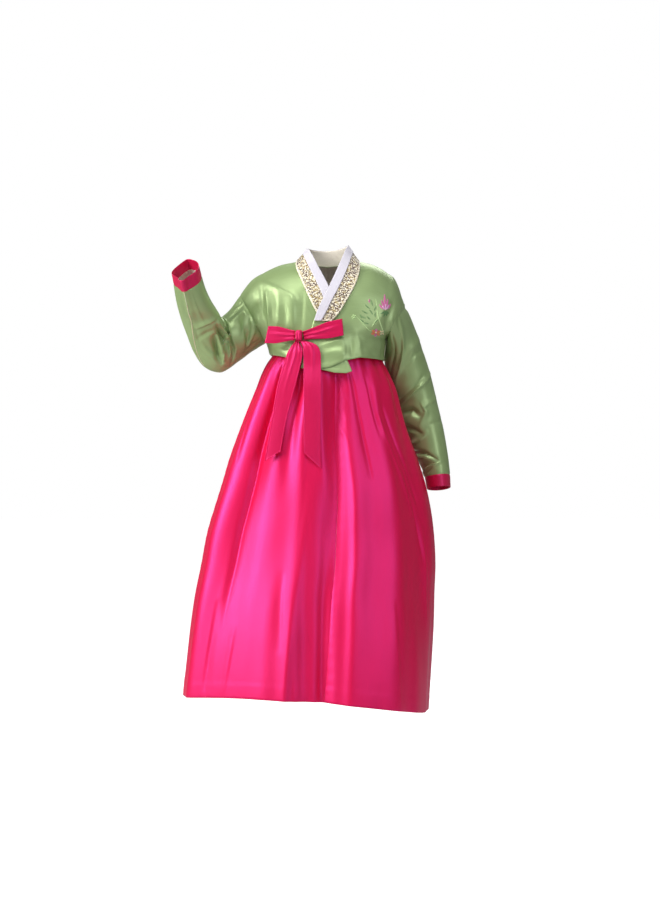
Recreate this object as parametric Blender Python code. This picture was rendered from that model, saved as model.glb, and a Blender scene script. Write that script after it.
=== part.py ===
"""A child's hanbok in the form it takes when worn: a short jacket (jeogori) with one sleeve bent up and one
hanging, tied with a ribbon bow, over a high-waisted gathered skirt (chima) that reaches the ankles.

The cloth pieces are thin walls with nothing inside them. +X is the wearer's left, -Y the front, +Z up, and the
origin is the middle of the neck opening at shoulder level. All sizes below are in millimetres; each mesh is
scaled to metres as it is made.
"""

import math

import bpy
import numpy as np

MM = 0.001

# Cloth
CLOTH = 1.5  # wall of jacket and skirt, interlined silk-like taffeta
RIBBON = 1.2  # wall of the ties
STRIP = 1.0  # wall of the stiff white collar strip
SEAM = 0.3  # gap between two pieces that are sewn together
SAME = 1e-6  # two shares of an edge closer than this are the same place
LAYER = 2.4  # how far a piece that lies on another stands out from it

# Jacket body. The side seams and shoulder seams lie in the plane SIDE_Y; front and back bulge from it.
SIDE_Y = -4.0
ROUNDING = 110.0  # height over which the cloth curves from the shoulder line down to the full chest depth
BODY_POWER = 2.3  # squareness of the body's horizontal sections
SHOULDER_LINE = (  # x, z
    (-182.7, -71.4), (-174, -59), (-160, -42), (-130, -23), (-101, -9), (-65, -1), (-40, 4), (0, 6),
    (40, 4), (65, -1), (101, -9), (126, -24), (145, -42), (152, -59), (157, -75), (161.7, -86.1),
)
BODY_SECTIONS = (  # z, half width right side, half width left side, front depth, back depth
    (-245, 121, 124, 113, 104), (-227, 119, 121, 109, 99), (-200, 119, 120, 103.5, 95.3), (-180, 124, 122, 99, 92),
    (-170, 128.1, 124, 97, 90), (-160, 141, 126, 95, 89), (-150, 153, 144, 94, 88), (-130, 178, 166, 92, 87),
    (-110, 190, 175, 90, 86), (-90, 201, 183, 89, 85), (-70, 212, 196, 88, 84), (0, 250, 235, 88, 84),
    (20, 262, 247, 88, 84),
)
ARMHOLE_RAISED = ((-182.7, -71.4), (-128.1, -170.1))  # shoulder tip, armpit: (x, z) on the wearer's right
ARMHOLE_HANGING = ((161.7, -86.1), (126.0, -160.0))  # the same on the wearer's left
BODY_CREASES = (  # x, z at one end, x, z at the other, half width, depth (+ ridge, - trough), front or back
    (140, -78, 117, -158, 6, -3.5, "front"), (128, -84, 98, -150, 9, 2.0, "front"),
    (-158, -84, -112, -150, 8, -3.0, "front"), (-128, -60, -96, -132, 10, 2.0, "front"),
    (-118, -176, -72, -190, 6, -2.5, "front"), (104, -150, 66, -196, 9, -2.0, "front"),
    (-140, -84, -96, -160, 9, -3.0, "back"), (128, -92, 92, -156, 9, -3.0, "back"),
    (-20, -60, -8, -190, 16, -2.5, "back"), (44, -90, 34, -196, 12, 1.8, "back"),
)

# Edges of the jacket's panels, as (x, z) points
SHOULDER_IN_RIGHT, SHOULDER_IN_LEFT = -58.0, 62.0  # x where the shoulder seams end at the neck, under the collar
OUTER_NECK = ((-26, -126), (0, -122), (15, -107), (27, -88), (39, -68), (49.5, -46), (58, -22))
OUTER_LEADING = ((-26, -126), (-36, -160), (-46, -196), (-53, -227))
OUTER_HEM = ((-53, -227), (-10, -227), (6, -225), (37, -211), (68, -204.5), (100, -206), (119.7, -208))
OUTER_SIDE = ((126, -160), (122.5, -184), (119.7, -208))
INNER_NECK = ((30, -128), (10, -121), (-10, -108), (-23, -89), (-33.5, -70), (-43, -50), (-51.5, -27))
INNER_LEADING = ((30, -128), (36, -170), (41, -210), (51, -233))
INNER_HEM = ((51, -233), (40, -237), (16, -236), (-12, -230), (-40, -220), (-86, -203), (-119, -196))
INNER_SIDE = ((-128.1, -170.1), (-122.5, -183), (-119, -196))
BACK_NECK = ((-50, -3), (-28, -5), (0, -7), (30, -5), (53, -3))
BACK_HEM = ((-119, -196), (-60, -203), (0, -206), (60, -207), (119.7, -208))

# How the edges are shared out
NECK_SHARE = 0.46  # part of a front's top edge that is neck, the rest is shoulder
BACK_SHOULDER_SHARE = 0.27  # part of the back's top edge that is one shoulder
ARMHOLE_SHARE = 0.62  # part of a panel's outer edge that is armhole, the rest is side seam

# Collar: where its sewn edge and its free edge run, from the lower end on the outer front round the neck to the
# lower end on the inner front. "lies" is 1 where it lies on the chest and 0 where it stands round the neck.
COLLAR_TURN = 4.8  # how far the collar stands out from the jacket where it turns up round the neck
COLLAR_TURN_OUTER = 6.0  # the outer end lies over the other end of the collar
COLLAR = (  # sewn x, z, side (-1 front, 1 back), free x, free z, free y, lies, stands out by
    (9.6, -130, -1, -25, -129.5, -101, 1, COLLAR_TURN_OUTER), (24, -114, -1, -19, -112, -98, 1, COLLAR_TURN_OUTER),
    (36, -94, -1, -6.5, -83, -94, 1, COLLAR_TURN_OUTER), (47.5, -74, -1, 6, -59, -86, 1, COLLAR_TURN_OUTER),
    (58, -53, -1, 17.5, -33, -74, 0.55, 5.5), (66, -30, -1, 29, -6, -58, 0, 4.5),
    (69, -11, -1, 40, 22, -35, 0, COLLAR_TURN + 0.7), (67, 2, 0, 45, 32, -6, 0, COLLAR_TURN),
    (57, -2, 1, 38, 32, 24, 0, COLLAR_TURN), (33, -7, 1, 21, 28, 40, 0, COLLAR_TURN),
    (1, -10, 1, 1, 26, 45, 0, COLLAR_TURN),
    (-30, -7, 1, -19, 26, 40, 0, COLLAR_TURN), (-53, -2, 1, -35, 27, 24, 0, COLLAR_TURN),
    (-63, 3, 0, -41, 26, -6, 0, COLLAR_TURN), (-65, -11, -1, -36, 18, -35, 0, COLLAR_TURN + 1.0),
    (-60.5, -26, -1, -28, 2, -57, 0, COLLAR_TURN), (-53, -43, -1, -19, -17, -69, 0.3, 3),
    (-45, -62, -1, -8, -38, -79, 0.8, LAYER), (-36, -82, -1, 2, -59, -86, 1, LAYER),
    (-27, -101, -1, 10, -82, -92, 1, LAYER), (-18, -117, -1, 17, -99, -96, 1, LAYER),
)
COLLAR_WALL = 1.6
STRIP_FROM, STRIP_TO = 0.62, 1.03  # part of the collar's width that the white strip covers

# Sleeves: rings from the armhole to the cuff's rim. Upper and lower are the (x, z) ends of the ring as seen from
# the front, y its depth, half its half thickness front to back, edge how sharp its underarm seam is.
SLEEVE_RAISED = (  # along, upper x, upper z, lower x, lower z, y, half, edge
    (0.0, -182.7, -71.4, -128.1, -170.1, SIDE_Y, 48, 0), (0.09, -201.3, -97.5, -157, -188.5, -8, 49, 0.2),
    (0.19, -216, -112.5, -186.5, -211, -15, 49, 0.4), (0.31, -227.5, -120.5, -221, -232.5, -25, 50, 0.5),
    (0.42, -233.5, -117.5, -253, -223, -38, 50, 0.7), (0.54, -237, -105.5, -274.6, -193.7, -56, 49, 0.9),
    (0.65, -240, -91, -288.2, -157.7, -77, 48, 0.9), (0.76, -244.5, -77.5, -298.4, -126, -97, 46, 0.8),
    (0.86, -249.7, -59.5, -306.7, -91, -119, 43, 0.6), (0.935, -254.7, -39.8, -311.4, -60.2, -137.5, 41, 0.4),
    (1.0, -259.5, -19, -314.7, -39.5, -150, 41, 0.3),
)
SLEEVE_HANGING = (
    (0.0, 161.7, -86.1, 126, -160, SIDE_Y, 46, 0), (0.09, 179.5, -125, 122, -190, 22, 47, 0.2),
    (0.2, 199, -175, 126, -232, 42, 47, 0.3), (0.33, 217, -225, 138, -273, 54, 46, 0.4),
    (0.49, 234.5, -292, 152, -319, 61, 46, 0.5), (0.61, 247, -343, 165, -362, 62, 45, 0.5),
    (0.74, 256, -394, 187, -406, 60, 45, 0.4), (0.935, 261.5, -448, 207.5, -453, 56, 46, 0.3),
    (1.0, 262.5, -474, 212.5, -477.5, 53, 47, 0.2),
)
CUFF_FROM = 0.935
SLEEVE_FOLDS = {  # along, angle round the ring (0 upper edge, 90 back, 270 front), half length, half angle, height
    "raised": (
        (0.36, 318, 0.035, 40, -6), (0.43, 322, 0.035, 42, 4), (0.28, 322, 0.03, 45, 4), (0.34, 40, 0.035, 40, -6),
        (0.42, 44, 0.04, 40, 4), (0.10, 250, 0.05, 34, -3), (0.62, 285, 0.05, 36, 3), (0.74, 250, 0.05, 30, -3),
        (0.20, 80, 0.05, 40, 3), (0.66, 80, 0.05, 40, -3), (1.0, 250, 0.13, 13, 8), (1.0, 205, 0.13, 27, -3),
        (1.0, 295, 0.13, 27, -5), (1.0, 72, 0.11, 17, 5), (1.0, 116, 0.11, 27, -3), (0.83, 240, 0.07, 15, 3),
    ),
    "hanging": (
        (0.10, 268, 0.04, 60, -3.5), (0.30, 236, 0.04, 46, 3.5), (0.42, 226, 0.035, 42, -4.5),
        (0.54, 222, 0.035, 44, 4), (0.64, 218, 0.03, 40, -4), (0.76, 230, 0.04, 48, 3.5), (0.85, 250, 0.04, 52, -3),
        (0.22, 90, 0.05, 46, -3.5), (0.46, 120, 0.05, 46, 4), (0.60, 130, 0.04, 40, -4), (0.78, 100, 0.05, 50, 3),
    ),
}

# Skirt: horizontal sections at their heights, and the hem, which hangs lower on the wearer's left
SKIRT_TOP = -165.0
SKIRT_SECTIONS = (  # z, right side x, left side x, front y, back y
    (-950, -310, 207, -193, 217), (-899, -306, 210, -190, 213), (-832, -298.5, 214, -185, 207),
    (-764, -290.5, 218, -180, 199), (-697, -281, 220, -174, 191), (-630, -267.5, 223, -167, 182),
    (-563, -254, 219, -159, 172), (-512, -238.5, 212, -153, 164), (-462, -222.5, 201, -147, 154),
    (-412, -207.5, 186, -140, 144), (-361, -189, 168, -132, 133), (-311, -169, 153, -124, 121),
    (-260, -147.5, 139, -114, 107), (-235, -137, 128, -107, 98), (-212, -124, 116.3, -101, 88),
    (-197, -113, 110, -96, 83), (-180, -108, 107, -90, 80), (-165, -105, 104, -85, 78), (-150, -104, 103, -84, 77),
)
SKIRT_POWER = 2.15
HEM_RIGHT, HEM_LEFT, HEM_FRONT_LIFT = -905.0, -940.0, 24.0
SKIRT_SEAMS = (8.3, 98.0, 185.0, 275.0)  # degrees round from the front centre towards the wearer's left
SKIRT_FOLDS = (  # angle at top, at hem, half width one side, other side, height at top, middle, hem
    (-76.5, -82.8, 9.5, 8.1, -6.2, -4.2, -4.1), (-65.4, -61.5, 5.5, 7.5, 1.3, 5.8, 12),
    (-45, -43.2, 2.9, 12.1, -12, -10.9, 0.4), (-43.9, -49.1, 8.8, 4.8, -5.4, -12, -0),
    (-41.3, -37.1, 9, 11, -7.4, -10.6, -4.3), (-26.9, -21, 13.5, 16, 11.7, -11.8, 2.7),
    (-20.3, -16.6, 4.8, 5.2, -12, -0.4, 3.1), (-14.1, -3.4, 5, 2.8, -0.4, 3.5, 11.9),
    (-9.8, -7.2, 10.4, 2, 7.3, -2.9, 12), (-3.7, 7.7, 2.3, 3.4, 12, -0.9, -12),
    (8.8, 7.4, 7.1, 4.1, -6, -12, -3.3), (13.8, 16.3, 16, 13.4, -12, -10.3, 12),
    (15.6, 18.9, 3, 8.5, -1.1, 11, 10.5), (34.8, 30.3, 8, 16, -9.2, 2.9, 12), (43, 41, 8.9, 6.9, 11.2, 7.9, 12),
    (47.8, 41.5, 16, 10.4, -5.6, -7.9, 12), (52.9, 53.4, 7.3, 6, 0.3, -1.1, 5.2),
    (60.9, 56, 8.1, 8.9, 5.4, -7.6, 9.8), (70.8, 63, 9, 10.1, -2.4, -10.2, 5.3),
    (81.3, 73.2, 9.7, 6.3, 3.5, 0.3, 3.5), (96, 97, 8, 9, 3, 7, 9), (113, 112, 6, 7, -6, -8, -9),
    (128, 130, 8, 6, 3, 8, 10), (143, 142, 5, 6, -5, -8, -9), (157, 158, 7, 7, 4, 7, 11),
    (173, 171, 6, 6, -5, -9, -8), (190, 192, 8, 6, 3, 6, 9), (205, 206, 5, 6, -6, -9, -10),
    (221, 220, 7, 8, 4, 8, 9), (237, 239, 6, 6, -5, -7, -10), (252, 252, 7, 7, 3, 7, 10),
    (266, 268, 5, 6, -4, -6, -6),
)
GATHERS = 23
GATHER_HEIGHT = 2.2

# Chest band and shoulder straps of the skirt
BAND_TOP = -118.0
STRAP_X = (-78.0, 80.0)
STRAP_HALF_WIDTH = 12.0
STRAP_DEEPER = 3.7  # how far inside the jacket's outer surface the straps run

# Bow: knot, loops and hanging ends
KNOT = (-57.5, -160.0)  # x, z of its middle
KNOT_SIZE = (16.0, 18.0, 22.0)
LOOPS_Y = -106.0  # the loops leave the knot's front half, clear of the jacket
LOOPS = {  # name: (near x, z), (far x, z), near width, far width, slant of the far end, tilt back of the far end
    "right": ((-66.2, -160.0), (-124.0, -158.0), 20, 34, -6.0, 10.0),
    "left": ((-47.6, -160.5), (33.0, -143.0), 18, 33, 4.0, -2.0),
}
LOOP_RADIUS = 2.9
LOOP_TURN = (0.42, 0.58)  # part of the ribbon's run at which it begins and ends its turn
TAILS = {  # name: stations of (z of the middle, left x, right x, slope of the cross line)
    "right": ((-171.3, -65, -57.8, 0), (-192, -79, -50, 0), (-215, -86.5, -53, 0.02), (-262, -100.5, -64, 0.05),
              (-333, -113, -82, 0.2), (-407, -126.5, -94.5, 0.62)),
    "left": ((-171.3, -57.2, -49.5, 0), (-178, -51, -26, 0.1), (-192, -48, -14.5, 0), (-220, -47, -12.5, 0),
             (-270, -47, -12, 0), (-354, -46.5, -12.8, -0.1), (-416, -46.3, -12.8, -0.92)),
}

# How finely each kind of piece is divided
SMOOTH_UNDER = 50.0  # degrees; a sharper edge stays an edge when it is shaded
CROWDING = 1.5  # how much closer rows and columns lie where the cloth curves over to a seam
NECK_COLUMNS, SHOULDER_COLUMNS_BACK, BACK_COLUMNS = 8, 7, 7
ARMHOLE_ROWS, SIDE_SEAM_ROWS = 9, 4
COLLAR_STATIONS, COLLAR_COLUMNS, STRIP_COLUMNS = 37, 5, 3
SLEEVE_ROWS, RING_POINTS = 17, 20
SKIRT_ROWS = (0.0004, 0.0237, 0.0447, 0.0658, 0.0947, 0.1368, 0.1947, 0.2697, 0.3618, 0.4737, 0.6053, 0.7368, 0.875, 1)
SKIRT_COLUMN = 3.4  # degrees
SKIRT_SEAM_GAP = 0.06  # degrees from a seam's middle to a panel's edge, 0.15 mm or more at the band
BAND_POINTS, STRAP_ROWS = 36, 19
RIBBON_COLUMNS, TAIL_ROWS, LOOP_ROWS = 4, 12, 6
KNOT_ROUNDING, KNOT_SEGMENTS = 5.0, 3

COLOURS = {  # name: sRGB, roughness
    "jacket": ((0.62, 0.69, 0.50), 0.45), "skirt": ((0.87, 0.16, 0.42), 0.4), "cuff": ((0.72, 0.20, 0.34), 0.42),
    "collar": ((0.78, 0.73, 0.66), 0.5), "strip": ((0.90, 0.89, 0.93), 0.6), "ribbon": ((0.86, 0.17, 0.42), 0.35),
    "band": ((0.90, 0.86, 0.82), 0.7),
}


def linear(channel):
    return channel / 12.92 if channel <= 0.04045 else ((channel + 0.055) / 1.055) ** 2.4


def make_material(name):
    colour, roughness = COLOURS[name]
    material = bpy.data.materials.new(name)
    material.use_nodes = True
    shader = material.node_tree.nodes["Principled BSDF"]
    shader.inputs["Base Color"].default_value = (*[linear(channel) for channel in colour], 1)
    shader.inputs["Roughness"].default_value = roughness
    shader.inputs["Metallic"].default_value = 0.0
    return material


def column(table, index):
    return np.array([row[index] for row in table], float)


def through(at, knots, values):
    """The smooth curve through values at knots, read at one or many places."""
    knots = np.asarray(knots, float)
    values = np.asarray(values, float)
    slopes = np.gradient(values, knots)
    at = np.clip(at, knots[0], knots[-1])
    low = np.clip(np.searchsorted(knots, at) - 1, 0, len(knots) - 2)
    step = knots[low + 1] - knots[low]
    t = (at - knots[low]) / step
    rise = t * t * (3 - 2 * t)
    bend = slopes[low] * t * (1 - t) ** 2 - slopes[low + 1] * t * t * (1 - t)
    return values[low] + (values[low + 1] - values[low]) * rise + bend * step


def soft_step(value, start, end):
    t = np.clip((value - start) / (end - start), 0, 1)
    return t * t * (3 - 2 * t)


def unit(vectors):
    return vectors / np.maximum(np.linalg.norm(vectors, axis=-1, keepdims=True), 1e-9)


# ---------------------------------------------------------------- cloth walls


def add_solid(name, points, faces, material):
    mesh = bpy.data.meshes.new(name)
    mesh.from_pydata((points * MM).tolist(), [], faces)
    mesh.validate()
    mesh.shade_smooth()
    mesh.set_sharp_from_angle(angle=math.radians(SMOOTH_UNDER))
    mesh.materials.append(material)
    solid = bpy.data.objects.new(name, mesh)
    bpy.context.scene.collection.objects.link(solid)
    return solid


def grid_faces(rows, columns, start, around, turned):
    faces = []
    for row in range(rows - 1):
        for col in range(columns if around else columns - 1):
            beside = (col + 1) % columns
            corners = [(row, col), (row + 1, col), (row + 1, beside), (row, beside)]
            face = [start + r * columns + c for r, c in corners]
            faces.append(face[::-1] if turned else face)
    return faces


def cloth_wall(name, outer, inner, material, around=False, turned=False):
    """A closed wall between an outer and an inner grid of points; around joins the last column to the first."""
    rows, columns = outer.shape[:2]
    under = rows * columns
    points = np.concatenate([outer.reshape(-1, 3), inner.reshape(-1, 3)])
    faces = grid_faces(rows, columns, 0, around, turned) + grid_faces(rows, columns, under, around, not turned)
    last = (rows - 1) * columns
    rims = [[c for c in range(columns)], [last + c for c in range(columns)][::-1]]
    if around:
        rims = [rim + rim[:1] for rim in rims]
    else:
        sides = [[r * columns for r in range(rows)][::-1], [r * columns + columns - 1 for r in range(rows)]]
        rims += sides
    for rim in rims:
        for a, b in zip(rim, rim[1:]):
            face = [a, b, under + b, under + a]
            faces.append(face[::-1] if turned else face)
    return add_solid(name, points, faces, material)


def surface_wall(name, surface, us, vs, wall, material, away_from, around=False, flatten=None):
    """Cloth on surface(u, v). Its wall goes inwards from there, along the surface's own normal, which flatten may
    turn into the plane of a seam. away_from gives a point inside, row by row, so that outwards is known."""
    u, v = np.meshgrid(us, vs, indexing="ij")
    outer = surface(u, v)
    small = 1e-4
    across = surface(u + small, v) - surface(u - small, v)
    along = surface(u, v + small * 100) - surface(u, v - small * 100)
    normal = unit(np.cross(across, along))
    turned = np.sum(normal * (outer - away_from(u))) < 0
    if turned:
        normal = -normal
    if flatten:
        normal = flatten(normal, u, v)
    return cloth_wall(name, outer, outer - wall * normal, material, around, turned)


# ---------------------------------------------------------------- jacket body


def crease_height(x, z, face):
    """Ridges and troughs of the jacket's body at (x, z)."""
    total = np.zeros(np.broadcast(x, z).shape)
    for x0, z0, x1, z1, half, depth, side in BODY_CREASES:
        if side != face:
            continue
        run = np.array([x1 - x0, z1 - z0])
        t = np.clip(((x - x0) * run[0] + (z - z0) * run[1]) / run.dot(run), 0, 1)
        away = np.hypot(x - x0 - t * run[0], z - z0 - t * run[1])
        total += depth * np.exp(-((away / half) ** 2)) * np.sin(math.pi * (0.12 + 0.76 * t))
    return total


def shoulder_height(x):
    return through(x, column(SHOULDER_LINE, 0), column(SHOULDER_LINE, 1))


def shoulder_point(x):
    return x, float(shoulder_height(x))


def half_depth(x, z, face, grow=0.0):
    """How far the jacket bulges from the plane of its side seams, to the front or to the back."""
    z_rows = column(BODY_SECTIONS, 0)
    width = np.where(x < 0, through(z, z_rows, column(BODY_SECTIONS, 1)), through(z, z_rows, column(BODY_SECTIONS, 2)))
    depth = through(z, z_rows, column(BODY_SECTIONS, 3 if face == "front" else 4))
    shoulder = shoulder_height(x)
    sideways = np.clip(1 - np.abs(x / (width + grow)) ** BODY_POWER, 0, 1) ** (1 / BODY_POWER)
    upwards = np.clip((z - (shoulder - ROUNDING)) / (ROUNDING + grow), 0, 1)
    rounding = np.sqrt(np.clip(1 - upwards**2, 0, 1))
    return (depth + crease_height(x, z, face) * rounding + grow) * sideways * rounding


def on_body(x, z, face, grow=0.0):
    side = -1 if face == "front" else 1
    return np.stack(np.broadcast_arrays(x, SIDE_Y + side * half_depth(x, z, face, grow), z), axis=-1)


def along_points(t, points):
    """A place at t, 0 to 1, along a line of (x, z) points, by distance."""
    points = np.array(points, float)
    gone = np.concatenate([[0], np.cumsum(np.hypot(*np.diff(points, axis=0).T))])
    return np.stack([np.interp(t, gone / gone[-1], points[:, k]) for k in (0, 1)], axis=-1)


def along_shoulder(t, start_x, end_x):
    x = start_x + (end_x - start_x) * t
    return np.stack([x, shoulder_height(x)], axis=-1)


def two_part(t, first, second, share):
    """A line made of two, each a function of its own t: the first takes up `share` of the whole."""
    a = first(np.clip(t / share, 0, 1))
    b = second(np.clip((t - share) / (1 - share), 0, 1))
    return np.where((t < share)[..., None], a, b)


def line(points):
    return lambda t: along_points(t, points)


def outer_edge(armhole, side):
    """A panel's outer edge: down the armhole, then down the side seam."""
    return lambda t: two_part(t, line(armhole), line(side), ARMHOLE_SHARE)


def patch(a, b, top, bottom, start, end):
    """Coons patch in (x, z): a runs across from start to end, b down from top to bottom."""
    a_, b_ = a[..., None], b[..., None]
    zero, one = np.zeros_like(a), np.ones_like(a)
    corners = (
        (1 - a_) * (1 - b_) * top(zero) + a_ * (1 - b_) * top(one)
        + (1 - a_) * b_ * bottom(zero) + a_ * b_ * bottom(one)
    )
    return (1 - b_) * top(a) + b_ * bottom(a) + (1 - a_) * start(b) + a_ * end(b) - corners


def in_plane(normal, plane_normal, where):
    """Turns the normals at `where` into the plane that plane_normal is square to."""
    flat = unit(normal - (normal @ plane_normal)[..., None] * plane_normal)
    return np.where(where[..., None], flat, normal)


def armhole_normal(armhole):
    (upper_x, upper_z), (lower_x, lower_z) = armhole
    return unit(np.array([upper_z - lower_z, 0, lower_x - upper_x], float))


SIDE_NORMAL = np.array([0.0, 1.0, 0.0])


def body_wall(name, outer, seams, material):
    """A body panel's wall. seams lists the edges that meet another piece, each with the normal of its plane."""
    normal = unit(np.cross(np.gradient(outer, axis=0), np.gradient(outer, axis=1)))
    inside = np.array([0.0, SIDE_Y, -110.0])
    turned = np.sum(normal * (outer - inside)) < 0
    if turned:
        normal = -normal
    for plane_normal, where in seams:
        normal = in_plane(normal, plane_normal, where)
    cloth_wall(name, outer, outer - CLOTH * normal, material, turned=turned)


def close_to(values, target):
    return np.abs(values - target) < SAME


def spaced_rows():
    """Rows down a body panel: close together over the shoulder's curve and the armhole, then the side seam."""
    armhole = np.linspace(0, 1, ARMHOLE_ROWS) ** CROWDING * ARMHOLE_SHARE
    side_seam = np.linspace(ARMHOLE_SHARE, 1, SIDE_SEAM_ROWS)[1:]
    return np.concatenate([armhole, side_seam])


def front_panel(name, neck, shoulder_in, leading, hem, side, armhole, grow, material):
    shoulder_tip = armhole[0]
    half = np.linspace(0, 1, NECK_COLUMNS)
    over_shoulder = NECK_SHARE + (1 - NECK_SHARE) * (1 - (1 - half[1:]) ** CROWDING)
    a, b = np.meshgrid(np.concatenate([half * NECK_SHARE, over_shoulder]), spaced_rows(), indexing="ij")
    flat = patch(
        a, b,
        lambda t: two_part(t, line(neck + (shoulder_point(shoulder_in),)),
                           lambda part: along_shoulder(part, shoulder_in, shoulder_tip[0]), NECK_SHARE),
        line(hem), line(leading), outer_edge(armhole, side),
    )
    x, z = flat[..., 0], flat[..., 1]
    outer = on_body(x, z, "front", grow(x, z))
    outer[..., 1] -= SEAM / 2
    end, upper = close_to(a, 1), b < ARMHOLE_SHARE - SAME
    hole = (armhole_normal(armhole), end & upper)
    side_and_shoulder = (SIDE_NORMAL, (end & ~upper) | (close_to(b, 0) & (a > NECK_SHARE - SAME)))
    # the armhole comes again for the corner that it shares with the shoulder
    body_wall(name, outer, (hole, side_and_shoulder, hole), material)


def overlap_height(x, z):
    """The outer front stands out where it lies over the inner one, and not at its shoulder or side seam."""
    return LAYER * soft_step(-z, 30, 80) * soft_step(-x, -115, -62)


def no_overlap(x, z):
    return np.zeros_like(x)


def back_panel(material):
    ends = BACK_SHOULDER_SHARE
    neck = line((shoulder_point(SHOULDER_IN_RIGHT),) + BACK_NECK + (shoulder_point(SHOULDER_IN_LEFT),))

    def neck_and_left(t):
        return two_part(t, neck, lambda part: along_shoulder(part, SHOULDER_IN_LEFT, ARMHOLE_HANGING[0][0]),
                        (1 - 2 * ends) / (1 - ends))

    def top(t):
        return two_part(t, lambda part: along_shoulder(part, ARMHOLE_RAISED[0][0], SHOULDER_IN_RIGHT),
                        neck_and_left, ends)

    grading = ends * np.linspace(0, 1, SHOULDER_COLUMNS_BACK) ** CROWDING
    a_columns = np.concatenate([grading, np.linspace(ends, 1 - ends, BACK_COLUMNS)[1:-1], 1 - grading[::-1]])
    a, b = np.meshgrid(a_columns, spaced_rows(), indexing="ij")
    flat = patch(
        a, b, top, line(BACK_HEM), outer_edge(ARMHOLE_RAISED, INNER_SIDE), outer_edge(ARMHOLE_HANGING, OUTER_SIDE)
    )
    outer = on_body(flat[..., 0], flat[..., 1], "back")
    outer[..., 1] += SEAM / 2
    upper = b < ARMHOLE_SHARE - SAME
    right_hole = (armhole_normal(ARMHOLE_RAISED), close_to(a, 0) & upper)
    left_hole = (armhole_normal(ARMHOLE_HANGING), close_to(a, 1) & upper)
    shoulders = close_to(b, 0) & ((a < ends + SAME) | (a > 1 - ends - SAME))
    sides = (close_to(a, 0) | close_to(a, 1)) & ~upper
    seams = (right_hole, left_hole, (SIDE_NORMAL, shoulders | sides), right_hole, left_hole)
    body_wall("jacket_back", outer, seams, material)


def build_jacket_body():
    cloth = make_material("jacket")
    front_panel("jacket_front_outer", OUTER_NECK, SHOULDER_IN_LEFT, OUTER_LEADING, OUTER_HEM, OUTER_SIDE,
                ARMHOLE_HANGING, overlap_height, cloth)
    front_panel("jacket_front_inner", INNER_NECK, SHOULDER_IN_RIGHT, INNER_LEADING, INNER_HEM, INNER_SIDE,
                ARMHOLE_RAISED, no_overlap, cloth)
    back_panel(cloth)
    return cloth


# ---------------------------------------------------------------- collar


def collar_point(s, w):
    """A place on the collar: s runs along it, 0 to 1, and w across it, 0 at the sewn edge, 1 at the free edge."""
    steps = np.linspace(0, 1, len(COLLAR))
    sewn_x, sewn_z, side, free_x, free_z, free_y, lies, grow = (
        through(s, steps, column(COLLAR, index)) for index in range(8)
    )
    x = sewn_x + (free_x - sewn_x) * w
    z = sewn_z + (free_z - sewn_z) * w
    bulge = np.where(side < 0, -half_depth(x, z, "front", grow), half_depth(x, z, "back", grow))
    sewn_bulge = np.where(
        side < 0, -half_depth(sewn_x, sewn_z, "front", grow), half_depth(sewn_x, sewn_z, "back", grow)
    )
    near_shoulder = np.clip(np.abs(side), 0, 1)
    sewn_y = SIDE_Y + sewn_bulge * near_shoulder
    standing = sewn_y + (free_y - sewn_y) * w
    lying = SIDE_Y + bulge
    return np.stack([x, standing + (lying - standing) * np.clip(lies, 0, 1), z], axis=-1)


def collar_middle(u):
    """Points inside the neck, along the collar."""
    point = collar_point(u, np.full_like(u, 0.5))
    return np.stack([point[..., 0] * 0.3, point[..., 1] * 0.2, point[..., 2] * 0.9 - 30], axis=-1)


def build_collar():
    along = np.linspace(0, 1, COLLAR_STATIONS)
    surface_wall("collar", collar_point, along, np.linspace(0, 1, COLLAR_COLUMNS), COLLAR_WALL,
                 make_material("collar"), collar_middle)

    def strip_point(s, w):
        small = 1e-3
        normal = unit(np.cross(
            collar_point(s + small, w) - collar_point(s - small, w),
            collar_point(s, w + small) - collar_point(s, w - small),
        ))
        outwards = np.sign(np.sum(normal * (collar_point(s, w) - collar_middle(s)), axis=-1, keepdims=True))
        return collar_point(s, w) + normal * outwards * (STRIP + 2.5 * SEAM)

    surface_wall("collar_strip", strip_point, along, np.linspace(STRIP_FROM, STRIP_TO, STRIP_COLUMNS), STRIP,
                 make_material("strip"), collar_middle)


# ---------------------------------------------------------------- sleeves


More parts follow.
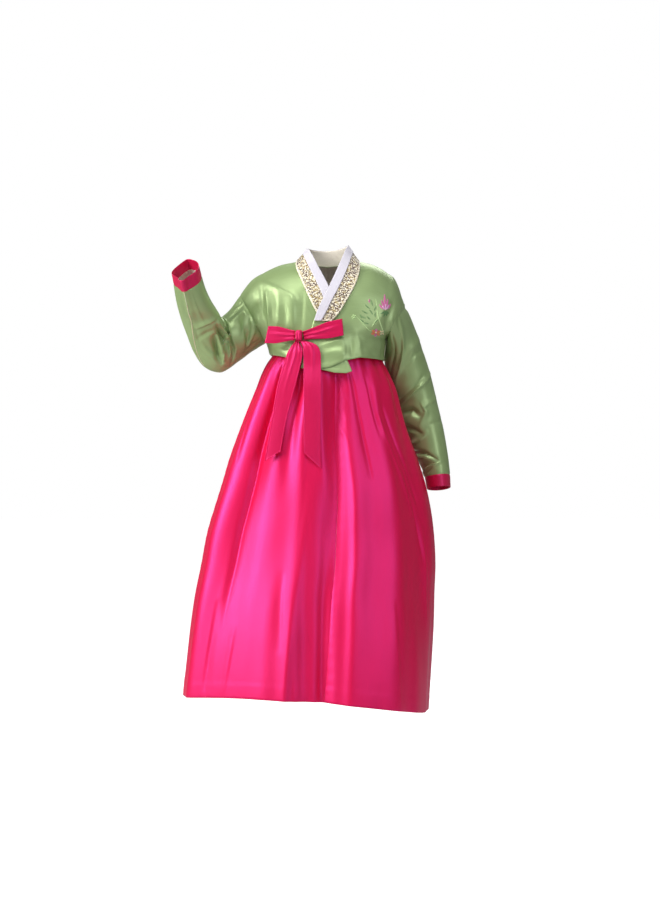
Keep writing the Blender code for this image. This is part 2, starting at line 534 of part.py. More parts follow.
def sleeve_surface(table, armhole, folds):
    knots = column(table, 0)
    (tip_x, tip_z), (pit_x, pit_z) = armhole
    hole_middle = np.array([(tip_x + pit_x) / 2, SIDE_Y, (tip_z + pit_z) / 2])
    hole_reach = np.array([(tip_x - pit_x) / 2, 0, (tip_z - pit_z) / 2])

    def ends(u):
        values = [through(u, knots, column(table, index)) for index in range(1, 8)]
        upper = np.stack([values[0], values[4], values[1]], axis=-1)
        lower = np.stack([values[2], values[4], values[3]], axis=-1)
        return upper, lower, values[5], values[6]

    def middle(u):
        upper, lower, _, _ = ends(u)
        return (upper + lower) / 2

    def surface(u, v):
        angle = np.radians(v)
        upper, lower, half, edge = ends(u)
        centre, reach = (upper + lower) / 2, (upper - lower) / 2
        tangent = middle(u + 0.02) - middle(u - 0.02)
        back = unit(np.cross(reach, tangent))
        back = back * np.sign(back[..., 1:2])
        leave = soft_step(u, 0, 0.16)
        back = unit(back * leave[..., None] + np.array([0.0, 1.0, 0.0]) * (1 - leave[..., None]))
        sine, cosine = np.sin(angle), np.cos(angle)
        seam_edge = (1 - edge) + edge * 1.3 * np.abs(np.cos(angle / 2))
        oval = half * sine * seam_edge
        hole = hole_middle + hole_reach * cosine[..., None]
        x, z = hole[..., 0], hole[..., 2]
        at_hole = np.where(sine > 0, half_depth(x, z, "back"), -half_depth(x, z, "front"))
        depth = at_hole * (1 - leave) + oval * leave
        point = centre + reach * cosine[..., None] + back * depth[..., None]
        outwards = unit(point - centre)
        raised = np.zeros_like(depth)
        for place, angle_at, half_length, half_angle, height in folds:
            turn = (v - angle_at + 180) % 360 - 180
            raised += height * np.exp(-(((u - place) / half_length) ** 2) - (turn / half_angle) ** 2)
        return point + outwards * (raised * soft_step(u, 0.0, 0.08))[..., None]

    return surface, middle


def build_sleeve(name, table, armhole, folds, cloth, cuff_cloth):
    surface, middle = sleeve_surface(table, armhole, folds)
    angles = np.arange(RING_POINTS) * 360 / RING_POINTS
    rings = column(table, 0)
    length = sum(math.dist(middle(a), middle(b)) for a, b in zip(rings, rings[1:]))
    gap = SEAM / length
    hole = armhole_normal(armhole)
    cuff_run = unit(middle(np.array(CUFF_FROM + 0.03)) - middle(np.array(CUFF_FROM - 0.03)))

    def flatten(normal, u, v):
        at_hole = u < gap * 2
        normal = in_plane(normal, hole, at_hole)
        return in_plane(normal, cuff_run, close_to(u, CUFF_FROM - gap) | close_to(u, CUFF_FROM + gap))

    rows = np.concatenate([[gap], np.linspace(0.05, CUFF_FROM - gap, SLEEVE_ROWS)])
    surface_wall(f"sleeve_{name}", surface, rows, angles, CLOTH, cloth, middle, True, flatten)
    cuff_rows = np.array([CUFF_FROM + gap, 1])
    surface_wall(f"cuff_{name}", surface, cuff_rows, angles, CLOTH, cuff_cloth, middle, True, flatten)


# ---------------------------------------------------------------- skirt


def fold_height(angle, s):
    """Folds and gathers of the skirt at an angle round it; s runs from 0 at the band to 1 at the hem."""
    grown = soft_step(s, 0.02, 0.16)
    total = np.zeros(np.broadcast(angle, s).shape)
    for at_top, at_hem, before, after, top, middle, hem in SKIRT_FOLDS:
        away = (angle - (at_top + (at_hem - at_top) * s) + 180) % 360 - 180
        half = np.where(away < 0, before, after) * (0.8 + 0.25 * s)
        height = top + (middle - top) * soft_step(s, 0.08, 0.5) + (hem - middle) * soft_step(s, 0.5, 1)
        total += height * np.exp(-((away / half) ** 2))
    waves = np.sin(np.radians(angle * GATHERS + 40 * np.sin(np.radians(angle * 3))))
    gathers = GATHER_HEIGHT * waves * soft_step(s, 0, 0.04) * (1 - soft_step(s, 0.1, 0.42))
    return total * grown + gathers


def section(angle, z, table, power, grow=0.0):
    """A closed horizontal section: (x, y) at an angle round from the front towards the wearer's left."""
    rows = column(table, 0)
    right, left, front, back = (through(z, rows, column(table, index)) for index in range(1, 5))
    turn = np.radians(angle)
    sine, cosine = np.sin(turn), np.cos(turn)
    reach = (left - right) / 2 + grow
    depth = np.where(cosine > 0, -front, back) + grow
    x = (left + right) / 2 + reach * np.sign(sine) * np.abs(sine) ** (2 / power)
    y = -depth * np.sign(cosine) * np.abs(cosine) ** (2 / power)
    return x, y, unit(np.stack([(x - (left + right) / 2) / reach**2, y / depth**2], axis=-1))


def hem_height(angle):
    """The skirt's hem: lower on the wearer's left, and a little higher at the front than at the back."""
    turn = np.radians(angle)
    across = (1 + np.sin(turn)) / 2
    return HEM_RIGHT + (HEM_LEFT - HEM_RIGHT) * across + HEM_FRONT_LIFT * np.clip(np.cos(turn), 0, 1) ** 2


def skirt_at(angle, z, s):
    x, y, out = section(angle, z, SKIRT_SECTIONS, SKIRT_POWER)
    height = fold_height(angle, s)
    return np.stack([x + out[..., 0] * height, y + out[..., 1] * height, z], axis=-1)


def skirt_surface(s, angle):
    return skirt_at(angle, SKIRT_TOP + (hem_height(angle) - SKIRT_TOP) * s, s)


def skirt_axis(s):
    return np.stack([-10 - 40 * s, 10 + 0 * s, SKIRT_TOP - 750 * s], axis=-1)


def build_skirt():
    cloth = make_material("skirt")
    names = ("skirt_back_right", "skirt_front_right", "skirt_front_left", "skirt_back_left")
    starts = (SKIRT_SEAMS[2], SKIRT_SEAMS[3] - 360, SKIRT_SEAMS[0], SKIRT_SEAMS[1])
    ends = (SKIRT_SEAMS[3], SKIRT_SEAMS[0], SKIRT_SEAMS[1], SKIRT_SEAMS[2])
    for name, start, end in zip(names, starts, ends):
        angles = np.linspace(start + SKIRT_SEAM_GAP, end - SKIRT_SEAM_GAP, round((end - start) / SKIRT_COLUMN) + 1)
        surface_wall(name, skirt_surface, np.array(SKIRT_ROWS), angles, CLOTH, cloth, skirt_axis)


def build_band():
    cloth = make_material("band")

    def band_surface(t, angle):
        z = SKIRT_TOP + SEAM + (BAND_TOP - SKIRT_TOP - SEAM) * t
        x, y, _ = section(angle, z, SKIRT_SECTIONS, SKIRT_POWER)
        return np.stack([x, y, z], axis=-1)

    def band_axis(t):
        return np.stack([0 * t, 0 * t, SKIRT_TOP + 50 * t], axis=-1)

    angles = np.arange(BAND_POINTS) * 360 / BAND_POINTS
    surface_wall("skirt_band", band_surface, np.linspace(0, 1, 2), angles, CLOTH, cloth, band_axis, True)
    for name, middle_x in zip(("right", "left"), STRAP_X):
        build_strap(f"skirt_strap_{name}", middle_x, cloth)


def build_strap(name, middle_x, cloth):
    """A strap from the front of the band over the shoulder to its back, just inside the jacket."""
    lowest = BAND_TOP + SEAM

    def strap_surface(t, w):
        # t runs 0 to 1 from the band in front, over the shoulder at 0.5, down to the band at the back
        turn = math.pi * (t - 0.5)
        x = middle_x + STRAP_HALF_WIDTH * w
        top = shoulder_height(x) - STRAP_DEEPER
        z = lowest + (top - lowest) * np.clip(np.cos(turn), 0, 1) ** 0.8
        face = np.where(t < 0.5, -1.0, 1.0)
        deep = np.where(t < 0.5, half_depth(x, z, "front", -STRAP_DEEPER), half_depth(x, z, "back", -STRAP_DEEPER))
        return np.stack([x, SIDE_Y + face * deep, z], axis=-1)

    def strap_axis(t):
        return np.stack([middle_x + 0 * t, SIDE_Y + 0 * t, lowest + 0 * t], axis=-1)

    surface_wall(name, strap_surface, np.linspace(0.002, 0.998, STRAP_ROWS), np.linspace(-1, 1, 2), CLOTH, cloth,
                 strap_axis)


# ---------------------------------------------------------------- bow


def skirt_front_y(x, z):
    """The skirt's outer surface in front, at a place (x, z)."""
    angles = np.linspace(-80, 80, 321)
    s = (SKIRT_TOP - z) / (SKIRT_TOP - HEM_RIGHT)
    points = skirt_at(angles, np.full_like(angles, z), np.full_like(angles, s))
    return float(np.interp(x, points[:, 0], points[:, 1]))


def rest_y(x, z):
    """How far forward a ribbon hangs at (x, z): in front of what the jacket and the skirt's folds reach near there."""
    near = []
    for across in (-16, -8, 0, 8, 16):
        for down in (-22, -11, 0, 11, 22):
            beside, height = np.array(x + across), z + down
            if height > -242:
                near.append(SIDE_Y - float(half_depth(beside, np.array(max(height, -234)), "front", LAYER)))
            if height < -205:
                near.append(skirt_front_y(x + across, height))
    return min(near)


def knot_y():
    """The knot lies on the inner front, whose edge it ties to the outer one."""
    corners = [(KNOT[0] + 5, KNOT[1] + across) for across in (-6, 0, 6)]
    bulge = max(float(half_depth(np.array(x), np.array(z), "front")) for x, z in corners)
    return SIDE_Y - bulge - SEAM - KNOT_SIZE[1] / 2


def ribbon(name, surface, rows, cloth):
    def behind(u):
        points = surface(u, np.zeros_like(u))
        return points + np.array([0.0, 60.0, 0.0])

    surface_wall(name, surface, rows, np.linspace(-1, 1, RIBBON_COLUMNS), RIBBON, cloth, behind)


def build_tail(name, stations, cloth):
    heights, left, right, slope = (column(stations, index) for index in range(4))
    run = np.linspace(0, 1, len(stations))
    hanging = [rest_y((a + b) / 2, z) - RIBBON - 1.0 for a, b, z in zip(left[1:], right[1:], heights[1:])]
    depths = [knot_y() - RIBBON / 2] + hanging

    def tail_surface(t, w):
        low, high = through(t, run, left), through(t, run, right)
        x = (low + high) / 2 + (high - low) / 2 * w
        z = through(t, run, heights) + through(t, run, slope) * (x - (low + high) / 2)
        return np.stack([x, through(t, run, depths) + 0.8 * w * w, z], axis=-1)

    ribbon(f"tie_tail_{name}", tail_surface, np.linspace(0, 1, TAIL_ROWS), cloth)


def build_loop(name, near, far, near_width, far_width, slant, tilt, cloth):
    """A ribbon that leaves the knot, turns at its far end and comes back behind itself."""
    length = math.dist(near, far)
    run = np.array([far[0] - near[0], far[1] - near[1]]) / length
    straight = length - LOOP_RADIUS

    def loop_surface(t, w):
        # t runs out along the front, round the end and back behind
        turn_from, turn_to = LOOP_TURN
        front = np.clip(t / turn_from, 0, 1)
        back = np.clip((1 - t) / turn_from, 0, 1)
        turn = np.clip((t - turn_from) / (turn_to - turn_from), 0, 1) * math.pi
        out = np.where(t < 0.5, front, back)
        apart = LOOP_RADIUS * (0.55 + 0.45 * np.sin(out * math.pi / 2))
        end = np.sin(turn)
        along = straight * out + LOOP_RADIUS * end
        depth = -apart * np.cos(turn)
        width = near_width + (far_width - near_width) * soft_step(out, 0.0, 0.75)
        across = w * width / 2
        along = along + slant * (across / far_width) * out
        x = near[0] + run[0] * along - run[1] * across * np.sign(run[0])
        z = near[1] + run[1] * along + abs(run[0]) * across
        y = LOOPS_Y + depth + tilt * out + 1.2 * (w * w - 1) * np.sin(out * math.pi)
        return np.stack([x, y, z], axis=-1)

    out, back = LOOP_TURN
    rows = [np.linspace(0, out, LOOP_ROWS), np.linspace(out, back, LOOP_ROWS)[1:-1], np.linspace(back, 1, LOOP_ROWS)]

    def loop_middle(t):
        point = np.array([near[0] + run[0] * straight / 2, LOOPS_Y + tilt / 2, near[1] + run[1] * straight / 2])
        return np.broadcast_to(point, t.shape + (3,))

    surface_wall(f"bow_loop_{name}", loop_surface, np.concatenate(rows), np.linspace(-1, 1, RIBBON_COLUMNS), RIBBON,
                 cloth, loop_middle)


def build_knot(cloth):
    place = (KNOT[0], knot_y(), KNOT[1])
    bpy.ops.mesh.primitive_cube_add(size=1, location=[value * MM for value in place])
    knot = bpy.context.object
    knot.name = "bow_knot"
    knot.scale = [value * MM for value in KNOT_SIZE]
    bpy.ops.object.transform_apply(location=False, rotation=False, scale=True)
    bevel = knot.modifiers.new("round", "BEVEL")
    bevel.width = KNOT_ROUNDING * MM
    bevel.segments = KNOT_SEGMENTS
    knot.data.materials.append(cloth)


def build_bow():
    cloth = make_material("ribbon")
    build_knot(cloth)
    for name, row in LOOPS.items():
        build_loop(name, *row, cloth)
    for name, stations in TAILS.items():
        build_tail(name, stations, cloth)


def main():
    for thing in list(bpy.data.objects):
        bpy.data.objects.remove(thing, do_unlink=True)
    cloth = build_jacket_body()
    cuff_cloth = make_material("cuff")
    build_sleeve("raised", SLEEVE_RAISED, ARMHOLE_RAISED, SLEEVE_FOLDS["raised"], cloth, cuff_cloth)
    build_sleeve("hanging", SLEEVE_HANGING, ARMHOLE_HANGING, SLEEVE_FOLDS["hanging"], cloth, cuff_cloth)
    build_collar()
    build_skirt()
    build_band()
    build_bow()


main()
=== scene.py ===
"""A child's hanbok in its cloth: a green jacket (jeogori) with one sleeve bent up, closed with a ribbon
bow, over a deep pink skirt (chima). Each piece is a thin shell on the form of the solid that it stands for,
with the finer creases, seams and embroidery that the solids leave out. Sizes are in millimetres and become
metres in the meshes.
"""

import math

import bpy
import numpy as np
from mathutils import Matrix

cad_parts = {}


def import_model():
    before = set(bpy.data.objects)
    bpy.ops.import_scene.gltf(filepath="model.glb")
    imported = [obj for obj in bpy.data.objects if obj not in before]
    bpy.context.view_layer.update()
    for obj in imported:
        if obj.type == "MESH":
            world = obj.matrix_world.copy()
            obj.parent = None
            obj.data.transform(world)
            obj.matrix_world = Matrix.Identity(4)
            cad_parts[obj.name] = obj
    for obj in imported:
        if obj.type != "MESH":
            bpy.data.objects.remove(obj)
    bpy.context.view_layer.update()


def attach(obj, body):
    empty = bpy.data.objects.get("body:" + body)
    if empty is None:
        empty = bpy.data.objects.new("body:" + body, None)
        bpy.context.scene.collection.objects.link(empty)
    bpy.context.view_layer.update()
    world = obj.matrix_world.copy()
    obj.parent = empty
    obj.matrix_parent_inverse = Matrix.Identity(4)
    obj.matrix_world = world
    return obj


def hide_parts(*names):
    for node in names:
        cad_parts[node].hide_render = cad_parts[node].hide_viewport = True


MM = 0.001

# Cloth
CLOTH = 1.5  # wall of jacket and skirt, interlined silk-like taffeta
RIBBON = 1.2  # wall of the ties
STRIP = 1.0  # wall of the stiff white collar strip
SEAM = 0.02  # two pieces that are sewn together all but touch
CLEAR = 0.3  # gap between two pieces that only lie on each other
SAME = 1e-6  # two shares of an edge closer than this are the same place
LAYER = 2.4  # how far a piece that lies on another stands out from it

# Jacket body. The side seams and shoulder seams lie in the plane SIDE_Y; front and back bulge from it.
SIDE_Y = -4.0
ROUNDING = 110.0  # height over which the cloth curves from the shoulder line down to the full chest depth
BODY_POWER = 2.3  # squareness of the body's horizontal sections
SHOULDER_LINE = (  # x, z
    (-182.7, -71.4), (-174, -59), (-160, -42), (-130, -23), (-101, -9), (-65, -1), (-40, 4), (0, 6),
    (40, 4), (65, -1), (101, -9), (126, -24), (145, -42), (152, -59), (157, -75), (161.7, -86.1),
)
BODY_SECTIONS = (  # z, half width right side, half width left side, front depth, back depth
    (-245, 121, 124, 113, 104), (-227, 119, 121, 109, 99), (-200, 119, 120, 103.5, 95.3),
    (-180, 124, 122, 99, 92), (-170, 128.1, 124, 97, 90), (-160, 141, 126, 95, 89),
    (-150, 153, 144, 94, 88), (-130, 178, 166, 92, 87), (-110, 190, 175, 90, 86), (-90, 201, 183, 89, 85),
    (-70, 212, 196, 88, 84), (0, 250, 235, 88, 84), (20, 262, 247, 88, 84),
)
ARMHOLE_RAISED = ((-182.7, -71.4), (-128.1, -170.1))  # shoulder tip, armpit: (x, z) on the wearer's right
ARMHOLE_HANGING = ((161.7, -86.1), (126.0, -160.0))  # the same on the wearer's left
BODY_CREASES = (  # x, z at one end, x, z at the other, half width, depth (+ ridge, - trough), front or back
    (140, -78, 117, -158, 6, -3.5, "front"), (128, -84, 98, -150, 9, 2.0, "front"),
    (-158, -84, -112, -150, 8, -3.0, "front"), (-128, -60, -96, -132, 10, 2.0, "front"),
    (-118, -176, -72, -190, 6, -2.5, "front"), (104, -150, 66, -196, 9, -2.0, "front"),
    (-140, -84, -96, -160, 9, -3.0, "back"), (128, -92, 92, -156, 9, -3.0, "back"),
    (-20, -60, -8, -190, 16, -2.5, "back"), (44, -90, 34, -196, 12, 1.8, "back"),
)

# Edges of the jacket's panels, as (x, z) points
SHOULDER_IN_RIGHT, SHOULDER_IN_LEFT = -58.0, 62.0  # x where the shoulder seams end, under the collar
OUTER_NECK = ((-26, -126), (0, -122), (15, -107), (27, -88), (39, -68), (49.5, -46), (58, -22))
OUTER_LEADING = ((-26, -126), (-36, -160), (-46, -196), (-53, -227))
OUTER_HEM = ((-53, -227), (-10, -227), (6, -225), (37, -211), (68, -204.5), (100, -206), (119.7, -208))
OUTER_SIDE = ((126, -160), (122.5, -184), (119.7, -208))
INNER_NECK = ((30, -128), (10, -121), (-10, -108), (-23, -89), (-33.5, -70), (-43, -50), (-51.5, -27))
INNER_LEADING = ((30, -128), (36, -170), (41, -210), (51, -233))
INNER_HEM = ((51, -233), (40, -237), (16, -236), (-12, -230), (-40, -220), (-86, -203), (-119, -196))
INNER_SIDE = ((-128.1, -170.1), (-122.5, -183), (-119, -196))
BACK_NECK = ((-50, -3), (-28, -5), (0, -7), (30, -5), (53, -3))
BACK_HEM = ((-119, -196), (-60, -203), (0, -206), (60, -207), (119.7, -208))

# How the edges are shared out
NECK_SHARE = 0.46  # part of a front's top edge that is neck, the rest is shoulder
BACK_SHOULDER_SHARE = 0.27  # part of the back's top edge that is one shoulder
ARMHOLE_SHARE = 0.62  # part of a panel's outer edge that is armhole, the rest is side seam

# Collar: where its sewn edge and its free edge run, from the lower end on the outer front round the neck to
# the lower end on the inner front. "lies" is 1 where it lies on the chest, 0 where it stands round the neck.
COLLAR_TURN = 4.8  # how far the collar stands out from the jacket where it turns up round the neck
COLLAR_TURN_OUTER = 6.0  # the outer end lies over the other end of the collar
COLLAR = (  # sewn x, z, side (-1 front, 1 back), free x, free z, free y, lies, stands out by
    (9.6, -130, -1, -25, -129.5, -101, 1, COLLAR_TURN_OUTER),
    (24, -114, -1, -19, -112, -98, 1, COLLAR_TURN_OUTER),
    (36, -94, -1, -6.5, -83, -94, 1, COLLAR_TURN_OUTER), (47.5, -74, -1, 6, -59, -86, 1, COLLAR_TURN_OUTER),
    (58, -53, -1, 17.5, -33, -74, 0.55, 5.5), (66, -30, -1, 29, -6, -58, 0, 4.5),
    (69, -11, -1, 40, 22, -35, 0, COLLAR_TURN + 0.7), (67, 2, 0, 45, 32, -6, 0, COLLAR_TURN),
    (57, -2, 1, 38, 32, 24, 0, COLLAR_TURN), (33, -7, 1, 21, 28, 40, 0, COLLAR_TURN),
    (1, -10, 1, 1, 26, 45, 0, COLLAR_TURN), (-30, -7, 1, -19, 26, 40, 0, COLLAR_TURN),
    (-53, -2, 1, -35, 27, 24, 0, COLLAR_TURN), (-63, 3, 0, -41, 26, -6, 0, COLLAR_TURN),
    (-65, -11, -1, -36, 18, -35, 0, COLLAR_TURN + 1.0), (-60.5, -26, -1, -28, 2, -57, 0, COLLAR_TURN),
    (-53, -43, -1, -19, -17, -69, 0.3, 3), (-45, -62, -1, -8, -38, -79, 0.8, LAYER),
    (-36, -82, -1, 2, -59, -86, 1, LAYER), (-27, -101, -1, 10, -82, -92, 1, LAYER),
    (-18, -117, -1, 17, -99, -96, 1, LAYER),
)
COLLAR_WALL = 1.6
STRIP_FROM, STRIP_TO = 0.62, 1.03  # part of the collar's width that the white strip covers

# Sleeves: rings from the armhole to the cuff's rim. Upper and lower are the (x, z) ends of the ring as seen
# from the front, y its depth, half its half thickness front to back, edge how sharp its underarm seam is.
SLEEVE_RAISED = (  # along, upper x, upper z, lower x, lower z, y, half, edge
    (0.0, -182.7, -71.4, -128.1, -170.1, SIDE_Y, 48, 0), (0.09, -201.3, -97.5, -157, -188.5, -8, 49, 0.2),
    (0.19, -216, -112.5, -186.5, -211, -15, 49, 0.4), (0.31, -227.5, -120.5, -221, -232.5, -25, 50, 0.5),
    (0.42, -233.5, -117.5, -253, -223, -38, 50, 0.7), (0.54, -237, -105.5, -274.6, -193.7, -56, 49, 0.9),
    (0.65, -240, -91, -288.2, -157.7, -77, 48, 0.9), (0.76, -244.5, -77.5, -298.4, -126, -97, 46, 0.8),
    (0.86, -249.7, -59.5, -306.7, -91, -119, 43, 0.6),
    (0.935, -254.7, -39.8, -311.4, -60.2, -137.5, 41, 0.4),
    (1.0, -259.5, -19, -314.7, -39.5, -150, 41, 0.3),
)
SLEEVE_HANGING = (
    (0.0, 161.7, -86.1, 126, -160, SIDE_Y, 46, 0), (0.09, 179.5, -125, 122, -190, 22, 47, 0.2),
    (0.2, 199, -175, 126, -232, 42, 47, 0.3), (0.33, 217, -225, 138, -273, 54, 46, 0.4),
    (0.49, 234.5, -292, 152, -319, 61, 46, 0.5), (0.61, 247, -343, 165, -362, 62, 45, 0.5),
    (0.74, 256, -394, 187, -406, 60, 45, 0.4), (0.935, 261.5, -448, 207.5, -453, 56, 46, 0.3),
    (1.0, 262.5, -474, 212.5, -477.5, 53, 47, 0.2),
)
CUFF_FROM = 0.935
# Folds: along, angle round the ring (0 upper edge, 90 back, 270 front), half length, half angle, height
SLEEVE_FOLDS = {
    "raised": (
        (0.36, 318, 0.035, 40, -6), (0.43, 322, 0.035, 42, 4), (0.28, 322, 0.03, 45, 4),
        (0.34, 40, 0.035, 40, -6), (0.42, 44, 0.04, 40, 4), (0.10, 250, 0.05, 34, -3),
        (0.62, 285, 0.05, 36, 3), (0.74, 250, 0.05, 30, -3), (0.20, 80, 0.05, 40, 3),
        (0.66, 80, 0.05, 40, -3), (1.0, 250, 0.13, 13, 8), (1.0, 205, 0.13, 27, -3),
        (1.0, 295, 0.13, 27, -5), (1.0, 72, 0.11, 17, 5), (1.0, 116, 0.11, 27, -3),
        (0.83, 240, 0.07, 15, 3),
    ),
    "hanging": (
        (0.10, 268, 0.04, 60, -3.5), (0.30, 236, 0.04, 46, 3.5), (0.42, 226, 0.035, 42, -4.5),
        (0.54, 222, 0.035, 44, 4), (0.64, 218, 0.03, 40, -4), (0.76, 230, 0.04, 48, 3.5),
        (0.85, 250, 0.04, 52, -3), (0.22, 90, 0.05, 46, -3.5), (0.46, 120, 0.05, 46, 4),
        (0.60, 130, 0.04, 40, -4), (0.78, 100, 0.05, 50, 3),
    ),
}

# Skirt: horizontal sections at their heights, and the hem, which hangs lower on the wearer's left
SKIRT_TOP = -165.0
SKIRT_SECTIONS = (  # z, right side x, left side x, front y, back y
    (-950, -310, 207, -193, 217), (-899, -306, 210, -190, 213), (-832, -298.5, 214, -185, 207),
    (-764, -290.5, 218, -180, 199), (-697, -281, 220, -174, 191), (-630, -267.5, 223, -167, 182),
    (-563, -254, 219, -159, 172), (-512, -238.5, 212, -153, 164), (-462, -222.5, 201, -147, 154),
    (-412, -207.5, 186, -140, 144), (-361, -189, 168, -132, 133), (-311, -169, 153, -124, 121),
    (-260, -147.5, 139, -114, 107), (-235, -137, 128, -107, 98), (-212, -124, 116.3, -101, 88),
    (-197, -113, 110, -96, 83), (-180, -108, 107, -90, 80), (-165, -105, 104, -85, 78),
    (-150, -104, 103, -84, 77),
)
SKIRT_POWER = 2.15
HEM_RIGHT, HEM_LEFT, HEM_FRONT_LIFT = -905.0, -940.0, 24.0
SKIRT_SEAMS = (8.3, 98.0, 185.0, 275.0)  # degrees round from the front centre towards the wearer's left
# The folds between -77 and 82 degrees come from a least-squares fit. The others are given one by one.
SKIRT_FOLDS = (  # angle at top, at hem, half width one side, other side, height at top, middle, hem
    (-76.5, -82.8, 9.5, 8.1, -6.2, -4.2, -4.1), (-65.4, -61.5, 5.5, 7.5, 1.3, 5.8, 12),
    (-45, -43.2, 2.9, 12.1, -12, -10.9, 0.4), (-43.9, -49.1, 8.8, 4.8, -5.4, -12, -0),
    (-41.3, -37.1, 9, 11, -7.4, -10.6, -4.3), (-26.9, -21, 13.5, 16, 11.7, -11.8, 2.7),
    (-20.3, -16.6, 4.8, 5.2, -12, -0.4, 3.1), (-14.1, -3.4, 5, 2.8, -0.4, 3.5, 11.9),
    (-9.8, -7.2, 10.4, 2, 7.3, -2.9, 12), (-3.7, 7.7, 2.3, 3.4, 12, -0.9, -12),
    (8.8, 7.4, 7.1, 4.1, -6, -12, -3.3), (13.8, 16.3, 16, 13.4, -12, -10.3, 12),
    (15.6, 18.9, 3, 8.5, -1.1, 11, 10.5), (34.8, 30.3, 8, 16, -9.2, 2.9, 12),
    (43, 41, 8.9, 6.9, 11.2, 7.9, 12), (47.8, 41.5, 16, 10.4, -5.6, -7.9, 12),
    (52.9, 53.4, 7.3, 6, 0.3, -1.1, 5.2), (60.9, 56, 8.1, 8.9, 5.4, -7.6, 9.8),
    (70.8, 63, 9, 10.1, -2.4, -10.2, 5.3), (81.3, 73.2, 9.7, 6.3, 3.5, 0.3, 3.5), (96, 97, 8, 9, 3, 7, 9),
    (113, 112, 6, 7, -6, -8, -9), (128, 130, 8, 6, 3, 8, 10), (143, 142, 5, 6, -5, -8, -9),
    (157, 158, 7, 7, 4, 7, 11), (173, 171, 6, 6, -5, -9, -8), (190, 192, 8, 6, 3, 6, 9),
    (205, 206, 5, 6, -6, -9, -10), (221, 220, 7, 8, 4, 8, 9), (237, 239, 6, 6, -5, -7, -10),
    (252, 252, 7, 7, 3, 7, 10), (266, 268, 5, 6, -4, -6, -6),
)
GATHERS = 23
GATHER_HEIGHT = 2.2

# Chest band and shoulder straps of the skirt
BAND_TOP = -118.0
STRAP_X = (-78.0, 80.0)
STRAP_HALF_WIDTH = 12.0
STRAP_DEEPER = 3.7  # how far inside the jacket's outer surface the straps run

# Bow: knot, loops and hanging ends
KNOT = (-57.5, -160.0)  # x, z of its middle
KNOT_SIZE = (16.0, 18.0, 22.0)
LOOPS_Y = -106.0  # the loops leave the knot's front half, clear of the jacket
# Loops: (near x, z), (far x, z), near width, far width, slant of the far end, tilt back of the far end
LOOPS = {
    "right": ((-66.2, -160.0), (-124.0, -158.0), 20, 34, -6.0, 10.0),
    "left": ((-47.6, -160.5), (33.0, -143.0), 18, 33, 4.0, -2.0),
}
LOOP_RADIUS = 2.9
LOOP_TURN = (0.42, 0.58)  # part of the ribbon's run at which it begins and ends its turn
TAILS = {  # name: stations of (z of the middle, left x, right x, slope of the cross line)
    "right": ((-171.3, -65, -57.8, 0), (-192, -79, -50, 0), (-215, -86.5, -53, 0.02),
              (-262, -100.5, -64, 0.05), (-333, -113, -82, 0.2), (-407, -126.5, -94.5, 0.62)),
    "left": ((-171.3, -57.2, -49.5, 0), (-178, -51, -26, 0.1), (-192, -48, -14.5, 0), (-220, -47, -12.5, 0),
             (-270, -47, -12, 0), (-354, -46.5, -12.8, -0.1), (-416, -46.3, -12.8, -0.92)),
}
TAIL_LEAN = {"right": 4.0, "left": -1.6}  # how far the inner edge of one tail stands out, and of the other

# Finer creases than the solids have: height (+ ridge, - trough), half width, lean (which side of the path
# is the broad one), then the path. Paths: x, z on the body, along and angle on a sleeve, share down and angle
# on the skirt.
FINE_BODY_CREASES = {
    "front": (
        (3, 3.6, -1, (-127, -68), (-122, -102), (-121, -141)),
        (-1.8, 4, 0, (-137, -57), (-134, -85), (-132, -118)),
        (4.2, 12, 1, (-73, -78), (-70, -109), (-70, -148)),
        (-2.2, 5, 0, (-51, -66), (-51, -103), (-53, -144)),
        (2.2, 7, 1, (-137, -44), (-107, -58), (-78, -74), (-59, -89)),
        (-0.8, 6, 0, (-90, -98), (-84, -118), (-86, -138)),
        (1.2, 6, -1, (-103, -65), (-99, -97), (-101, -132)),
        (2.2, 9, 1, (29, -165), (35, -184), (33, -211)), (-1.6, 4, 0, (49, -169), (51, -190), (51, -211)),
        (1.8, 6, 1, (-10, -180), (14, -172), (41, -165)),
        (-1.6, 4.5, 0, (122, -110), (124, -139), (121, -174)),
        (1.6, 4, 1, (110, -157), (112, -179), (108, -202)), (1.4, 7, -1, (37, -18), (60, -8), (86, -0)),
        (-1.2, 5, 0, (80, -179), (93, -191), (97, -207)), (1.2, 5, 1, (58, -148), (68, -173), (72, -204)),
        (3.4, 10, 0, (-124, -187), (-100, -189), (-66, -194)),
        (-1.6, 4, 0, (-112, -178), (-96, -176), (-80, -179)),
        (2.8, 9, 0, (-6, -197), (18, -194), (46, -200)),
    ),
    "back": (
        (3.2, 6, 1, (-132, -88), (-112, -122), (-100, -168)),
        (3.2, 6, -1, (114, -96), (96, -130), (84, -172)),
        (-2.6, 5, 0, (-118, -84), (-98, -118), (-88, -160)),
        (-2.6, 5, 0, (102, -84), (84, -120), (72, -158)), (-2, 7, 1, (-60, -120), (-66, -152), (-72, -190)),
        (2, 8, -1, (14, -104), (18, -148), (22, -192)), (2.8, 7, 1, (-96, -56), (-72, -92), (-56, -140)),
        (-2.4, 6, 0, (88, -52), (72, -96), (66, -150)), (2.4, 6, -1, (120, -150), (90, -178), (60, -204)),
        (-2.2, 6, 0, (-122, -146), (-94, -176), (-70, -200)),
        (1.8, 9, 1, (-78, -24), (-44, -32), (-10, -34), (26, -32), (62, -24)),
        (-1.4, 8, 0, (-60, -46), (-28, -52), (6, -53), (40, -47)),
        (2, 7, 1, (-44, -166), (-20, -173), (6, -174), (34, -168)),
    ),
}
